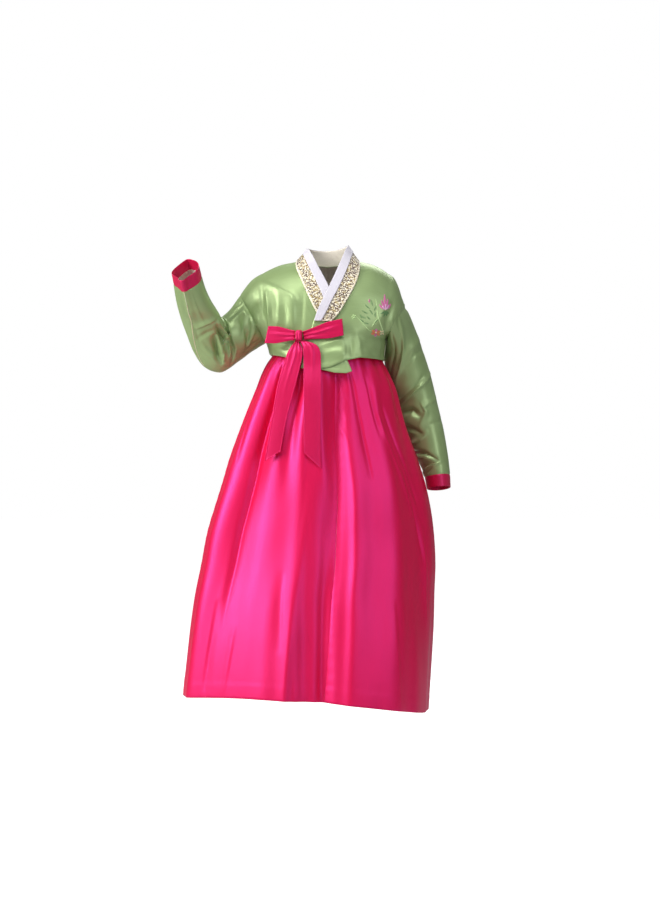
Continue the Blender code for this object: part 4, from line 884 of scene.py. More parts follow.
def plain_weave(name, light, deep, roughness):
    """Plain woven cotton: dull, with a fine criss-cross grain."""
    finish, tree, shader = new_finish(name)
    warp = threads(tree, 0.8, 9)
    weft = threads(tree, 9, 0.8)
    crossing = add_node(tree, "ShaderNodeMath", {"operation": "MAXIMUM"}, {0: warp, 1: weft}).outputs[0]
    tree.links.new(between(tree, crossing, deep, light, 0.4, 0.75), shader.inputs["Base Color"])
    bump = add_node(tree, "ShaderNodeBump", {"Strength": 0.5, "Distance": 0.00012}, {"Height": crossing})
    tree.links.new(bump.outputs["Normal"], shader.inputs["Normal"])
    shader.inputs["Roughness"].default_value = roughness
    shader.inputs["Sheen Weight"].default_value = 0.15
    return finish


def thread_finish(name, light, deep, roughness=0.4):
    """Rayon embroidery thread: lies in parallel strands, each catching the light as a fine line."""
    finish, tree, shader = new_finish(name)
    strands = threads(tree, 0.5, 12, 1.0)
    tree.links.new(between(tree, strands, deep, light, 0.35, 0.65), shader.inputs["Base Color"])
    bump = add_node(tree, "ShaderNodeBump", {"Strength": 0.8, "Distance": 0.00025}, {"Height": strands})
    tree.links.new(bump.outputs["Normal"], shader.inputs["Normal"])
    shader.inputs["Roughness"].default_value = roughness
    shader.inputs["Sheen Weight"].default_value = 0.3
    return finish


def brocade(name):
    """Jacquard brocade's ground: cream satin with a fine dull twill, under its woven figures."""
    finish, tree, shader = new_finish(name)
    uv = add_node(tree, "ShaderNodeUVMap", {"uv_map": "weave"})
    patches = add_node(tree, "ShaderNodeTexNoise", {"Scale": 260.0, "Detail": 2.0},
                       {"Vector": uv.outputs["UV"]})
    twill = threads(tree, 0.8, 5)
    tree.links.new(between(tree, patches.outputs["Fac"], "#d9cdb0", "#f0ead8", 0.38, 0.56),
                   shader.inputs["Base Color"])
    tree.links.new(ranged(tree, twill, 0.4, 0.6), shader.inputs["Roughness"])
    bump = add_node(tree, "ShaderNodeBump", {"Strength": 0.5, "Distance": 0.00015}, {"Height": twill})
    tree.links.new(bump.outputs["Normal"], shader.inputs["Normal"])
    return finish


def make_finishes():
    return {
        # fresh leaf green with a whitish lustre where it turns to the light
        "taffeta": satin("green_taffeta", "#889f6e", "#788d5c", "#e2fcc0", 0.4),
        # crimson that gleams magenta pink where it turns to the light
        "satin": satin("deep_pink_satin", "#d40b38", "#c90730", "#f65ac6", 0.43),
        "cuff": satin("rose_satin", "#c41444", "#b41038", "#ff66ae", 0.46),
        "ribbon": satin("ribbon_satin", "#c80e40", "#bc0a38", "#ff5cb4", 0.44, rib_mm=(0.7, 22)),
        "lining": plain_weave("lining_cotton", "#ece6dc", "#ddd5c8", 0.75),
        "cotton": plain_weave("band_cotton", "#ece4dc", "#d8ccc2", 0.8),
        "strip": plain_weave("stiff_white_cotton", "#d6d4de", "#c6c2d0", 0.6),
        "brocade": brocade("cream_brocade"),
        "brown": thread_finish("brown_thread", "#5d3f3a", "#3a2422", 0.5),
        "gold": thread_finish("old_gold_thread", "#b39a5c", "#84703a", 0.4),
        # the seam edge's pale green is a painted highlight along the raised sleeve's sharp underarm fold
        "piping": satin("green_piping_painted_highlight", "#dde8c2", "#c6d4a4", "#f8fcec", 0.4),
        "pink_thread": thread_finish("pink_thread", "#d277a4", "#b85a8e"),
        "lilac_thread": thread_finish("lilac_thread", "#dcb0d2", "#c08abb"),
        "leaf_thread": thread_finish("leaf_green_thread", "#5f8a50", "#466f3e"),
        "moss_thread": thread_finish("moss_green_thread", "#7f9e66", "#5f8550"),
        "pale_thread": thread_finish("pale_green_thread", "#c4dda0", "#9fc37e"),
        "orange_thread": thread_finish("orange_thread", "#e08a5c", "#c25f40"),
        "cream_thread": thread_finish("cream_thread", "#f2e6c2", "#d9c894"),
    }


# ---------------------------------------------------------------- jacket


FRONT_COLUMNS, FRONT_ROWS, SIDE_ROWS = 56, 74, 26
NECK_COLUMNS, SHOULDER_COLUMNS, BACK_COLUMNS = 40, 36, 48
CROWDING = 1.8  # how much closer columns lie where the cloth curves over to the shoulder's end
CHEST_MIDDLE = np.array([0.0, SIDE_Y, -110.0])
HEM_STITCHES = 9.0  # mm from the jacket's edges to the line where their turned-in layer ends


def crowded(count, power=1.6):
    return np.linspace(0, 1, count) ** power


def panel_rows():
    side_seam = np.linspace(ARMHOLE_SHARE, 1, SIDE_ROWS)[1:]
    return np.concatenate([crowded(FRONT_ROWS) * ARMHOLE_SHARE, side_seam])


def sewn_planes(seams):
    """Turns the wall's direction into each seam's plane, so that pieces meet edge to edge inside as well."""
    def flatten(normal):
        for plane_normal, where in seams:
            normal = in_plane(normal, plane_normal, where)
        return normal
    return flatten


def front_panel(name, neck, shoulder_in, leading, hem, side, armhole, grow, finishes):
    tip = armhole[0][0]
    over_shoulder = 1 - (1 - np.linspace(0, 1, FRONT_COLUMNS)[1:]) ** CROWDING
    over_shoulder = NECK_SHARE + (1 - NECK_SHARE) * over_shoulder
    columns = np.concatenate([np.linspace(0, NECK_SHARE, NECK_COLUMNS), over_shoulder])
    a, b = np.meshgrid(columns, panel_rows(), indexing="ij")
    flat = patch(
        a, b,
        lambda t: two_part(t, line(neck + (shoulder_point(shoulder_in),)),
                           lambda part: along_shoulder(part, shoulder_in, tip), NECK_SHARE),
        line(hem), line(leading), outer_edge(armhole, side),
    )
    x, z = flat[..., 0], flat[..., 1]
    outer = on_body(x, z, "front", grow(x, z))
    outer[..., 1] -= SEAM / 2
    end, upper = close_to(a, 1), b < ARMHOLE_SHARE - SAME
    hole = (armhole_normal(armhole), end & upper)
    side_and_shoulder = (SIDE_NORMAL, (end & ~upper) | (close_to(b, 0) & (a > NECK_SHARE - SAME)))
    edges = {"top": HEM_STITCHES, "bottom": "seam", "first": "plain", "last": HEM_STITCHES}
    down, _ = spread(outer)
    creases = relief(x, z, FINE_BODY_CREASES["front"]) * soft_step(down[-1:] - down, 0, CREASES_END)
    return make_cloth(f"{name}_cloth", name, "jacket", outer, CHEST_MIDDLE, CLOTH, finishes, edges,
                      creases=creases, flatten=sewn_planes((hole, side_and_shoulder, hole)))


def back_panel(finishes):
    ends = BACK_SHOULDER_SHARE
    neck = line((shoulder_point(SHOULDER_IN_RIGHT),) + BACK_NECK + (shoulder_point(SHOULDER_IN_LEFT),))

    def neck_and_left(t):
        return two_part(t, neck, lambda part: along_shoulder(part, SHOULDER_IN_LEFT, ARMHOLE_HANGING[0][0]),
                        (1 - 2 * ends) / (1 - ends))

    def top(t):
        return two_part(t, lambda part: along_shoulder(part, ARMHOLE_RAISED[0][0], SHOULDER_IN_RIGHT),
                        neck_and_left, ends)

    grading = ends * np.linspace(0, 1, SHOULDER_COLUMNS) ** CROWDING
    columns = np.concatenate([grading, np.linspace(ends, 1 - ends, BACK_COLUMNS)[1:-1], 1 - grading[::-1]])
    a, b = np.meshgrid(columns, panel_rows(), indexing="ij")
    right_edge = outer_edge(ARMHOLE_RAISED, INNER_SIDE)
    left_edge = outer_edge(ARMHOLE_HANGING, OUTER_SIDE)
    flat = patch(a, b, top, line(BACK_HEM), right_edge, left_edge)
    outer = on_body(flat[..., 0], flat[..., 1], "back")
    outer[..., 1] += SEAM / 2
    upper = b < ARMHOLE_SHARE - SAME
    right_hole = (armhole_normal(ARMHOLE_RAISED), close_to(a, 0) & upper)
    left_hole = (armhole_normal(ARMHOLE_HANGING), close_to(a, 1) & upper)
    shoulders = close_to(b, 0) & ((a < ends + SAME) | (a > 1 - ends - SAME))
    sides = (close_to(a, 0) | close_to(a, 1)) & ~upper
    seams = (right_hole, left_hole, (SIDE_NORMAL, shoulders | sides), right_hole, left_hole)
    edges = {"top": "seam", "bottom": "seam", "first": "plain", "last": HEM_STITCHES}
    # the back is cut in two halves, joined by a seam down its middle
    x, z = flat[..., 0], flat[..., 1]
    down, _ = spread(outer)
    inside_seams = soft_step(down, 0, CREASES_END) * soft_step(down[-1:] - down, 0, CREASES_END)
    creases = relief(x, z, FINE_BODY_CREASES["back"]) * inside_seams
    creases = creases + edge_height("seam", np.abs(x), z, 0.6)
    return make_cloth("jacket_back_cloth", "jacket_back", "jacket", outer, CHEST_MIDDLE, CLOTH, finishes,
                      edges, creases=creases, flatten=sewn_planes(seams))


def make_jacket_body(finish):
    cloths = [finish["taffeta"], finish["lining"]]
    outer = front_panel("jacket_front_outer", OUTER_NECK, SHOULDER_IN_LEFT, OUTER_LEADING, OUTER_HEM,
                        OUTER_SIDE, ARMHOLE_HANGING, overlap_height, cloths)
    inner = front_panel("jacket_front_inner", INNER_NECK, SHOULDER_IN_RIGHT, INNER_LEADING, INNER_HEM,
                        INNER_SIDE, ARMHOLE_RAISED, no_overlap, cloths)
    back = back_panel(cloths)


# ---------------------------------------------------------------- collar


COLLAR_LENGTH = 610.0  # mm along the collar's middle, from end to end
COLLAR_WIDTH = 33.0
COLLAR_STEPS, COLLAR_COLUMNS, STRIP_COLUMNS = 260, 22, 14


def make_collar(finish):
    along = np.linspace(0, 1, COLLAR_STEPS)
    s, w = np.meshgrid(along, np.linspace(0, 1, COLLAR_COLUMNS), indexing="ij")
    piping = 0.7 * bell(w * 32 - 1.2, 0.8)
    collar = make_cloth("collar_brocade", "collar", "collar", collar_point(s, w), collar_middle(s),
                        COLLAR_WALL, [finish["brocade"], finish["lining"]], {}, creases=piping, limp=0.3)
    s, w = np.meshgrid(along, np.linspace(STRIP_FROM, STRIP_TO, STRIP_COLUMNS), indexing="ij")
    strip = make_cloth("collar_strip_cloth", "collar_strip", "strip", on_collar(s, w, STRIP + 0.75),
                       collar_middle(s), STRIP, [finish["strip"], finish["strip"]], {}, limp=0.3)


def on_collar(s, w, lift):
    """A place on the collar, lifted off it."""
    small = 1e-3
    normal = unit(np.cross(
        collar_point(s + small, w) - collar_point(s - small, w),
        collar_point(s, w + small) - collar_point(s, w - small),
    ))
    outwards = np.sign(np.sum(normal * (collar_point(s, w) - collar_middle(s)), axis=-1, keepdims=True))
    return collar_point(s, w) + normal * outwards * np.asarray(lift)[..., None]


FIGURE_ROWS, FIGURE_PITCH = (3.4, 11.0, 18.6), 9.4
MANY_STEPS = np.array([-1.0, -0.55, 0.0, 0.55, 1.0])  # across a broad stroke
FEW_STEPS = np.array([-1.0, 0.0, 1.0])  # across a fine one


def stroke(path, width, lift, taper=0.5, steps=MANY_STEPS):
    """A tapering run of satin stitch along a flat path, as (flat grid, heights above the cloth)."""
    path = np.asarray(path, float)
    way = unit(np.gradient(path, axis=0))
    side = np.stack([-way[:, 1], way[:, 0]], axis=-1)
    t = np.linspace(0, 1, len(path))
    half = width / 2 * np.clip(np.sin(math.pi * np.clip(t, 0.02, 0.98)), 0, 1) ** taper
    flat = path[:, None] + side[:, None] * (half[:, None] * steps)[..., None]
    domed = (1 - 0.75 * steps**2)[None] * np.sin(math.pi * np.clip(t, 0.06, 0.94))[:, None] ** 0.4
    return flat, lift * domed + 0.12


def sew(name, place, strokes, finish):
    """Lays strokes on the cloth as one piece. place puts many (x, y, lift) on it at once."""
    flat = np.concatenate([grid.reshape(-1, 2) for grid, _ in strokes])
    lift = np.concatenate([height.ravel() for _, height in strokes])
    top = place(flat[:, 0], flat[:, 1], lift)
    bottom = place(flat[:, 0], flat[:, 1], np.full_like(lift, 0.04))
    parts, start = [], 0
    for _, height in strokes:
        end = start + height.size
        outer, inner = (grid[start:end].reshape(*height.shape, 3) for grid in (top, bottom))
        parts.append(shell(outer, inner, False, faces_turned(outer, inner), ()))
        start = end
    return joined(name, parts, finish)


def faces_turned(outer, inner):
    """Whether a grid's faces look from its outer side to its inner one."""
    normal = np.cross(np.gradient(outer, axis=0), np.gradient(outer, axis=1))
    return bool(np.sum(normal * (outer - inner)) < 0)


def curl(middle, size, turns, start, mirror):
    """A spiral scroll, from its open end inwards."""
    t = np.linspace(0, 1, 10)
    angle = start + mirror * turns * 2 * math.pi * t
    radius = size * (1 - 0.7 * t)
    return np.stack([middle[0] + radius * np.cos(angle), middle[1] + radius * np.sin(angle)], axis=-1)


def leaf_path(middle, reach, angle, bend, count=7):
    t = np.linspace(-0.5, 0.5, count)
    x, y = reach * t, bend * (0.25 - t**2)
    cosine, sine = math.cos(angle), math.sin(angle)
    return np.stack([middle[0] + x * cosine - y * sine, middle[1] + x * sine + y * cosine], axis=-1)


def make_collar_figures(finish):
    """Curling stems and leaves woven into the brocade, in three staggered rows."""
    draw = np.random.default_rng(11)

    def place(x, y, lift):
        return on_collar(x / COLLAR_LENGTH, y / COLLAR_WIDTH, lift)

    brown, gold = [], []
    for row, height in enumerate(FIGURE_ROWS):
        for number in range(int((COLLAR_LENGTH - 10) / FIGURE_PITCH)):
            middle = (6 + (number + 0.5 * (row % 2)) * FIGURE_PITCH + draw.uniform(-1, 1),
                      height + draw.uniform(-0.8, 0.8))
            start, mirror = draw.uniform(0, 2 * math.pi), draw.choice((-1, 1))
            # the end that lies below has more gold in it
            share_brown = 0.8 if number * 2 * FIGURE_PITCH < COLLAR_LENGTH else 0.5
            stem = brown if draw.random() < share_brown else gold
            stem.append(stroke(curl(middle, 3.3, 0.9, start, mirror), 2.0, 0.35, 0.35, FEW_STEPS))
            for turn in (0.4, 2.5, 4.6):
                angle = start + turn
                tip = (middle[0] + 4.9 * math.cos(angle), middle[1] + 4.1 * math.sin(angle))
                if 0.8 < tip[1] < 21.5 and 2 < tip[0] < COLLAR_LENGTH - 2:
                    leaf = leaf_path(tip, 4.4, angle + draw.uniform(0.5, 1.5), 1.2, 6)
                    (brown if turn < 3 else gold).append(stroke(leaf, 1.9, 0.3, 0.4, FEW_STEPS))
    sew("collar_scrolls_brown", place, brown, finish["brown"])
    sew("collar_scrolls_gold", place, gold, finish["gold"])


# ---------------------------------------------------------------- sleeves


SLEEVE_COLUMNS, SLEEVE_ROWS, CUFF_ROWS = 168, 180, 22
PER_DEGREE = 0.85  # mm round a sleeve
FOLD_HEIGHT, FOLD_REACH = {"raised": 4.5, "hanging": 0.0}, 20.0  # the sharp fold along the underarm seam


def underarm_height(side, u, v, length):
    """The underarm seam, and the sharp fold that the raised sleeve and its cuff have along it."""
    away = np.abs((v - seam_angle(side, u) + 180) % 360 - 180) * PER_DEGREE
    sharp = FOLD_HEIGHT[side] * soft_step(u, 0.5, 0.8) * np.exp(-away / FOLD_REACH)
    return sharp + edge_height("seam", away, u * length, 0.3)


def sleeve_form(side, table, armhole):
    """A sleeve's surface, the line down its middle, and how long that line is."""
    surface, middle = sleeve_surface(table, armhole, SLEEVE_FOLDS[side])
    rings = column(table, 0)
    length = sum(math.dist(middle(a), middle(b)) for a, b in zip(rings, rings[1:]))
    return surface, middle, length


def sleeve_creases(side, u, v, length):
    """The finer creases of a sleeve, u along it and v degrees round it."""
    scale = (length, PER_DEGREE)
    return relief(u * length, v * PER_DEGREE, SLEEVE_CREASES[side], scale, 360 * PER_DEGREE)


def make_sleeve(side, table, armhole, finish):
    surface, middle, length = sleeve_form(side, table, armhole)
    gap = SEAM / length
    hole = armhole_normal(armhole)
    cuff_run = unit(middle(np.array(CUFF_FROM + 0.03)) - middle(np.array(CUFF_FROM - 0.03)))
    angles = np.arange(SLEEVE_COLUMNS) * 360 / SLEEVE_COLUMNS
    rows = np.concatenate([[gap], np.linspace(0.006, CUFF_FROM - gap, SLEEVE_ROWS)])
    u, v = np.meshgrid(rows, angles, indexing="ij")
    planes = [(hole, u < gap * 2), (cuff_run, close_to(u, CUFF_FROM - gap))]
    creases = sleeve_creases(side, u, v, length) * soft_step(u * length, 0, CREASES_END)
    underarm = underarm_height(side, u, v, length)
    sleeve = make_cloth(f"sleeve_{side}_cloth", f"sleeve_{side}", "jacket", surface(u, v), middle(u), CLOTH,
                        [finish["taffeta"], finish["lining"]], {"top": "seam", "bottom": "seam"}, True,
                        creases=creases + underarm, flatten=sewn_planes(planes))
    u, v = np.meshgrid(np.linspace(CUFF_FROM + gap, 1, CUFF_ROWS), angles, indexing="ij")
    planes = [(cuff_run, close_to(u, CUFF_FROM + gap))]
    underarm = underarm_height(side, u, v, length)
    cuff = make_cloth(f"cuff_{side}_cloth", f"cuff_{side}", "cuff", surface(u, v), middle(u), CLOTH,
                      [finish["cuff"], finish["cuff"]], {"top": "seam"}, True, creases=underarm,
                      flatten=sewn_planes(planes), limp=0.6)


def seam_angle(side, u):
    """Where the underarm seam runs round the sleeve."""
    if side == "hanging":
        return 180 + 0 * u
    path = np.array(PIPING_PATH[::-1], float)
    return np.interp(u, path[:, 0], path[:, 1])


# ---------------------------------------------------------------- skirt


SKIRT_RUN, SKIRT_PER_DEGREE = 770.0, 3.2  # mm down the skirt, and mm round it for one degree
SKIRT_ROWS, SKIRT_COLUMN = 160, 0.72  # a column's width in degrees
SKIRT_SEAM_GAP = 0.004  # degrees from a seam's middle to a panel's edge
SKIRT_HEM = 30.0  # from the skirt's edge to its hem stitches


def make_skirt(finish):
    rows = np.concatenate([[0.00003], np.linspace(0.006, 1, SKIRT_ROWS)])
    scale = (SKIRT_RUN, SKIRT_PER_DEGREE)
    names = ("skirt_back_right", "skirt_front_right", "skirt_front_left", "skirt_back_left")
    starts = (SKIRT_SEAMS[2], SKIRT_SEAMS[3] - 360, SKIRT_SEAMS[0], SKIRT_SEAMS[1])
    ends = (SKIRT_SEAMS[3], SKIRT_SEAMS[0], SKIRT_SEAMS[1], SKIRT_SEAMS[2])
    gap = SKIRT_SEAM_GAP
    for number, (name, start, end) in enumerate(zip(names, starts, ends)):
        angles = np.linspace(start + gap, end - gap, round((end - start) / SKIRT_COLUMN) + 1)
        s, angle = np.meshgrid(rows, angles, indexing="ij")
        creases = relief(s * SKIRT_RUN, angle * SKIRT_PER_DEGREE, SKIRT_CREASES, scale)
        creases = creases * soft_step(s, 0, 0.03)
        panel = make_cloth(f"{name}_cloth", name, "skirt", skirt_surface(s, angle), skirt_axis(s), CLOTH,
                           [finish["satin"], finish["lining"]],
                           {"top": "seam", "bottom": SKIRT_HEM, "first": "seam", "last": "seam"},
                           creases=creases, phase=number)


def make_band(finish):
    cotton = [finish["cotton"], finish["cotton"]]
    t, angle = np.meshgrid(np.linspace(0, 1, 24), np.arange(180) * 2.0, indexing="ij")
    z = SKIRT_TOP + SEAM + (BAND_TOP - SKIRT_TOP - SEAM) * t
    x, y, _ = section(angle, z, SKIRT_SECTIONS, SKIRT_POWER)
    outer = np.stack([x, y, z], axis=-1)
    band = make_cloth("skirt_band_cloth", "skirt_band", "band", outer, np.array([0.0, 0.0, -140.0]), CLOTH,
                      cotton, {"top": "seam", "bottom": 6.0}, True, limp=0.5)
    for name, middle_x in zip(("right", "left"), STRAP_X):
        lowest = BAND_TOP + SEAM
        t, w = np.meshgrid(np.linspace(0.002, 0.998, 110), np.linspace(-1, 1, 14), indexing="ij")
        x = middle_x + STRAP_HALF_WIDTH * w
        top = shoulder_height(x) - STRAP_DEEPER
        z = lowest + (top - lowest) * np.clip(np.cos(math.pi * (t - 0.5)), 0, 1) ** 0.8
        front, back = (half_depth(x, z, face, -STRAP_DEEPER) for face in ("front", "back"))
        y = SIDE_Y + np.where(t < 0.5, -front, back)
        outer, inside = np.stack([x, y, z], axis=-1), np.array([middle_x, SIDE_Y, lowest])
        strap = make_cloth(f"skirt_strap_{name}_cloth", f"skirt_strap_{name}", "band", outer, inside, CLOTH,
                           cotton, {"first": 3.0, "last": 3.0}, limp=0.0)


# ---------------------------------------------------------------- bow


TAIL_ROWS, LOOP_ROWS, TURN_ROWS, RIBBON_COLUMNS = 130, 60, 20, 36


def make_tail(name, stations, finish):
    heights, left, right, slope = (column(stations, index) for index in range(4))
    run = np.linspace(0, 1, len(stations))
    hanging = [rest_y((a + b) / 2, z) - RIBBON - 1.0 for a, b, z in zip(left[1:], right[1:], heights[1:])]
    depths = [knot_y() - RIBBON / 2] + hanging
    t, w = np.meshgrid(np.linspace(0, 1, TAIL_ROWS), np.linspace(-1, 1, RIBBON_COLUMNS), indexing="ij")
    low, high = through(t, run, left), through(t, run, right)
    x = (low + high) / 2 + (high - low) / 2 * w
    z = through(t, run, heights) + through(t, run, slope) * (x - (low + high) / 2)
    lean = TAIL_LEAN[name]
    leaning = soft_step(t, 0.02, 0.25) * abs(lean) * (1 + math.copysign(1, lean) * w) / 2
    outer = np.stack([x, through(t, run, depths) + 0.8 * w * w - leaning, z], axis=-1)
    gathered = 1.6 * np.sin(3.1 * math.pi * w + (0.4 if name == "left" else 1.9)) * np.exp(-t / 0.16)
    fold = 0.9 * bell(w - 0.25 + 0.5 * t, 0.16) * bell(t - 0.34, 0.22)
    piece = make_cloth(f"tie_tail_{name}_cloth", f"tie_tail_{name}", "ribbon", outer,
                       outer + np.array([0.0, 60.0, 0.0]), RIBBON, [finish["ribbon"], finish["ribbon"]],
                       {"first": RIBBON_HEM, "last": RIBBON_HEM, "bottom": RIBBON_HEM},
                       creases=gathered + fold, limp=0.7)


def make_loop(name, near, far, near_width, far_width, slant, tilt, finish):
    length = math.dist(near, far)
    run = np.array([far[0] - near[0], far[1] - near[1]]) / length
    straight = length - LOOP_RADIUS
    turn_from, turn_to = LOOP_TURN
    there, back = np.linspace(0, turn_from, LOOP_ROWS), np.linspace(turn_to, 1, LOOP_ROWS)
    stops = np.concatenate([there, np.linspace(turn_from, turn_to, TURN_ROWS)[1:-1], back])
    t, w = np.meshgrid(stops, np.linspace(-1, 1, RIBBON_COLUMNS), indexing="ij")
    out = np.where(t < 0.5, np.clip(t / turn_from, 0, 1), np.clip((1 - t) / turn_from, 0, 1))
    turn = np.clip((t - turn_from) / (turn_to - turn_from), 0, 1) * math.pi
    apart = LOOP_RADIUS * (0.55 + 0.45 * np.sin(out * math.pi / 2))
    along = straight * out + LOOP_RADIUS * np.sin(turn)
    width = near_width + (far_width - near_width) * soft_step(out, 0.0, 0.75)
    across = w * width / 2
    along = along + slant * (across / far_width) * out
    x = near[0] + run[0] * along - run[1] * across * np.sign(run[0])
    z = near[1] + run[1] * along + abs(run[0]) * across
    y = LOOPS_Y - apart * np.cos(turn) + tilt * out + 1.2 * (w * w - 1) * np.sin(out * math.pi)
    outer = np.stack([x, y, z], axis=-1)
    inside = np.array([near[0] + run[0] * straight / 2, LOOPS_Y + tilt / 2, near[1] + run[1] * straight / 2])
    front = t < 0.5
    gathered = 1.7 * np.sin(2.6 * math.pi * w + 0.8) * np.exp(-out / 0.34) * np.where(front, 1.0, 0.4)
    fold = 1.7 * bell(w + 0.2 - 0.5 * out, 0.2) * bell(out - 0.5, 0.28) * front
    fold -= 1.1 * bell(w - 0.5 + 0.3 * out, 0.15) * bell(out - 0.42, 0.2) * front
    piece = make_cloth(f"bow_loop_{name}_cloth", f"bow_loop_{name}", "ribbon", outer, inside, RIBBON,
                       [finish["ribbon"], finish["ribbon"]], {"first": RIBBON_HEM, "last": RIBBON_HEM},
                       creases=gathered + fold, limp=0.5)


def make_knot(finish):
    """The wound middle of the bow: a rounded block of ribbon with folds that run down its front."""
    bpy.ops.object.select_all(action="DESELECT")
    bpy.ops.mesh.primitive_uv_sphere_add(segments=96, ring_count=60, radius=1, location=(0, 0, 0))
    knot = bpy.context.object
    knot.name = "bow_knot_cloth"
    mesh = knot.data
    flat = np.empty(len(mesh.vertices) * 3, np.float32)
    mesh.vertices.foreach_get("co", flat)
    ball = flat.reshape(-1, 3).astype(float)
    squared = ball / (np.abs(ball) ** 4).sum(axis=1, keepdims=True) ** 0.25
    x, y, z = squared.T
    folds = 0.9 * np.sin(5.2 * x + 1.2 * z + 0.6) + 0.5 * np.sin(11 * x - 1.4 * z)
    pinch = 1 - 0.10 * (1 - z**2)
    half = np.array(KNOT_SIZE) / 2
    shaped = squared * half * np.stack([pinch, np.ones_like(pinch), np.ones_like(pinch)], axis=-1)
    shaped[:, 1] -= folds * np.clip(-y, 0, 1) * (1 - 0.4 * z**2) * 0.8
    shaped += np.array([KNOT[0], knot_y(), KNOT[1]])
    mesh.vertices.foreach_set("co", (shaped * MM).astype(np.float32).ravel())
    mesh.uv_layers[0].name = "weave"
    uv = np.empty(len(mesh.loops) * 2, np.float32)
    mesh.uv_layers[0].data.foreach_get("uv", uv)
    uv = uv.reshape(-1, 2) * np.array([60 * MM, 34 * MM])
    mesh.uv_layers[0].data.foreach_set("uv", uv.astype(np.float32).ravel())
    mesh.shade_smooth()
    mesh.materials.append(finish["ribbon"])
    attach(knot, "root")
    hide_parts("bow_knot")


def make_bow(finish):
    make_knot(finish)
    for name, row in LOOPS.items():
        make_loop(name, *row, finish)
    for name, stations in TAILS.items():
        make_tail(name, stations, finish)


# ---------------------------------------------------------------- embroidery and piping


def on_chest(x, z, lift):
    """A place on the outer front, lifted off its cloth."""
    point = on_body(x, z, "front", overlap_height(x, z))
    point[..., 1] -= SEAM / 2
    level = np.zeros_like(point[..., 0])
    out = np.stack([point[..., 0] * 0.35, level - 70.0, level], axis=-1)
    lifted = np.asarray(lift) + limpness(point, 5) + relief(x, z, FINE_BODY_CREASES["front"])
    return point + unit(out) * lifted[..., None]


def curve_path(points, count=14):
    points = np.array(points, float)
    knots = np.linspace(0, 1, len(points))
    t = np.linspace(0, 1, count)
    return np.stack([through(t, knots, points[:, 0]), through(t, knots, points[:, 1])], axis=-1)


def make_embroidery(finish):
    """Blossoms on slender stems on the outer front, in satin stitch."""
    groups = {key: [] for key in ("pink_thread", "lilac_thread", "leaf_thread", "moss_thread", "pale_thread",
                                  "orange_thread", "cream_thread")}

    def petal(thread, path, width, lift=0.8, taper=0.6):
        groups[thread].append(stroke(curve_path(path), width, lift, taper))

    def blossom(middle, petals, reach, width, threads_used, turn=0.0, squash=1.0):
        for number in range(petals):
            angle = turn + 2 * math.pi * number / petals
            cosine, sine = math.cos(angle), math.sin(angle)
            tip = (middle[0] + reach * cosine, middle[1] + reach * sine * squash)
            start = (middle[0] + reach * 0.15 * cosine, middle[1] + reach * 0.15 * sine * squash)
            bend_x = (start[0] + tip[0]) / 2 - sine * reach * 0.08
            bend_z = (start[1] + tip[1]) / 2 + cosine * reach * 0.08
            petal(threads_used[number % len(threads_used)], (start, (bend_x, bend_z), tip), width)

    # a tall pointed blossom, its petals fanned upwards
    for dx, dz, width in ((-13, 6, 4.5), (-8, 15, 5), (-2, 27, 5.5), (5, 18, 5), (11, 8, 4.5)):
        petal("pink_thread", ((121, -104), (121 + dx * 0.6, -104 + dz * 0.5), (121 + dx, -100 + dz)), width)
    for dx, dz, width in ((-6, 4, 3.5), (0, 9, 4), (6, 6, 3.5)):
        path = ((121, -106), (121 + dx * 0.7, -104 + dz * 0.5), (121 + dx, -100 + dz))
        petal("lilac_thread", path, width, 1.1)
    petal("cream_thread", ((120, -107), (121, -104), (122, -101)), 2.4, 1.2)
    for reach, angle in ((13, -1.9), (11, -1.3), (12, -2.6), (9, -0.7)):
        tip = (121 + reach * math.cos(angle), -108 + reach * math.sin(angle))
        petal("leaf_thread", ((121, -108), ((121 + tip[0]) / 2 + 1, (-108 + tip[1]) / 2), tip), 3.6, 0.6)
    # stems
    petal("pale_thread", ((101, -84), (104, -104), (106, -122), (115, -146), (117, -152)), 2.6, 0.6, 0.3)
    petal("pale_thread", ((60, -121), (72, -132), (84, -146), (92, -150)), 1.6, 0.5, 0.3)
    petal("pale_thread", ((106, -122), (98, -132), (92, -142)), 1.5, 0.5, 0.3)
    # leaf sprays
    sprays = (
        (94, -98, 1.9, 14), (88, -104, 2.4, 13), (97, -108, 1.2, 12), (84, -114, 2.7, 14),
        (94, -116, 2.2, 12), (99, -121, 1.5, 10), (80, -124, 2.9, 12), (90, -126, 2.5, 11),
        (76, -132, 2.6, 10), (98, -133, 0.7, 11), (86, -136, 2.9, 10), (72, -124, 2.0, 9),
    )
    for number, (x, z, angle, reach) in enumerate(sprays):
        middle = (x + reach / 2 * math.cos(angle), z + reach / 2 * math.sin(angle))
        path = leaf_path(middle, reach, angle, 2.0 if number % 2 else -2.0, 12)
        groups["moss_thread"].append(stroke(path, 2.9, 0.6))
    # small round blossom and buds
    blossom((101, -153), 6, 10.5, 5.2, ("orange_thread", "pink_thread", "orange_thread"), 0.3, 0.75)
    petal("cream_thread", ((99, -153), (101, -152.4), (103, -153)), 2.8, 1.3)
    blossom((114, -152), 4, 5.5, 3.0, ("cream_thread",), 0.8)
    blossom((55, -121), 5, 5.0, 2.8, ("pale_thread",), 0.5)
    petal("pink_thread", ((88, -92), (87, -88), (88, -84)), 3.0, 0.8)
    for thread, strokes in groups.items():
        sew(f"embroidery_{thread.split('_')[0]}", on_chest, strokes, finish[thread])


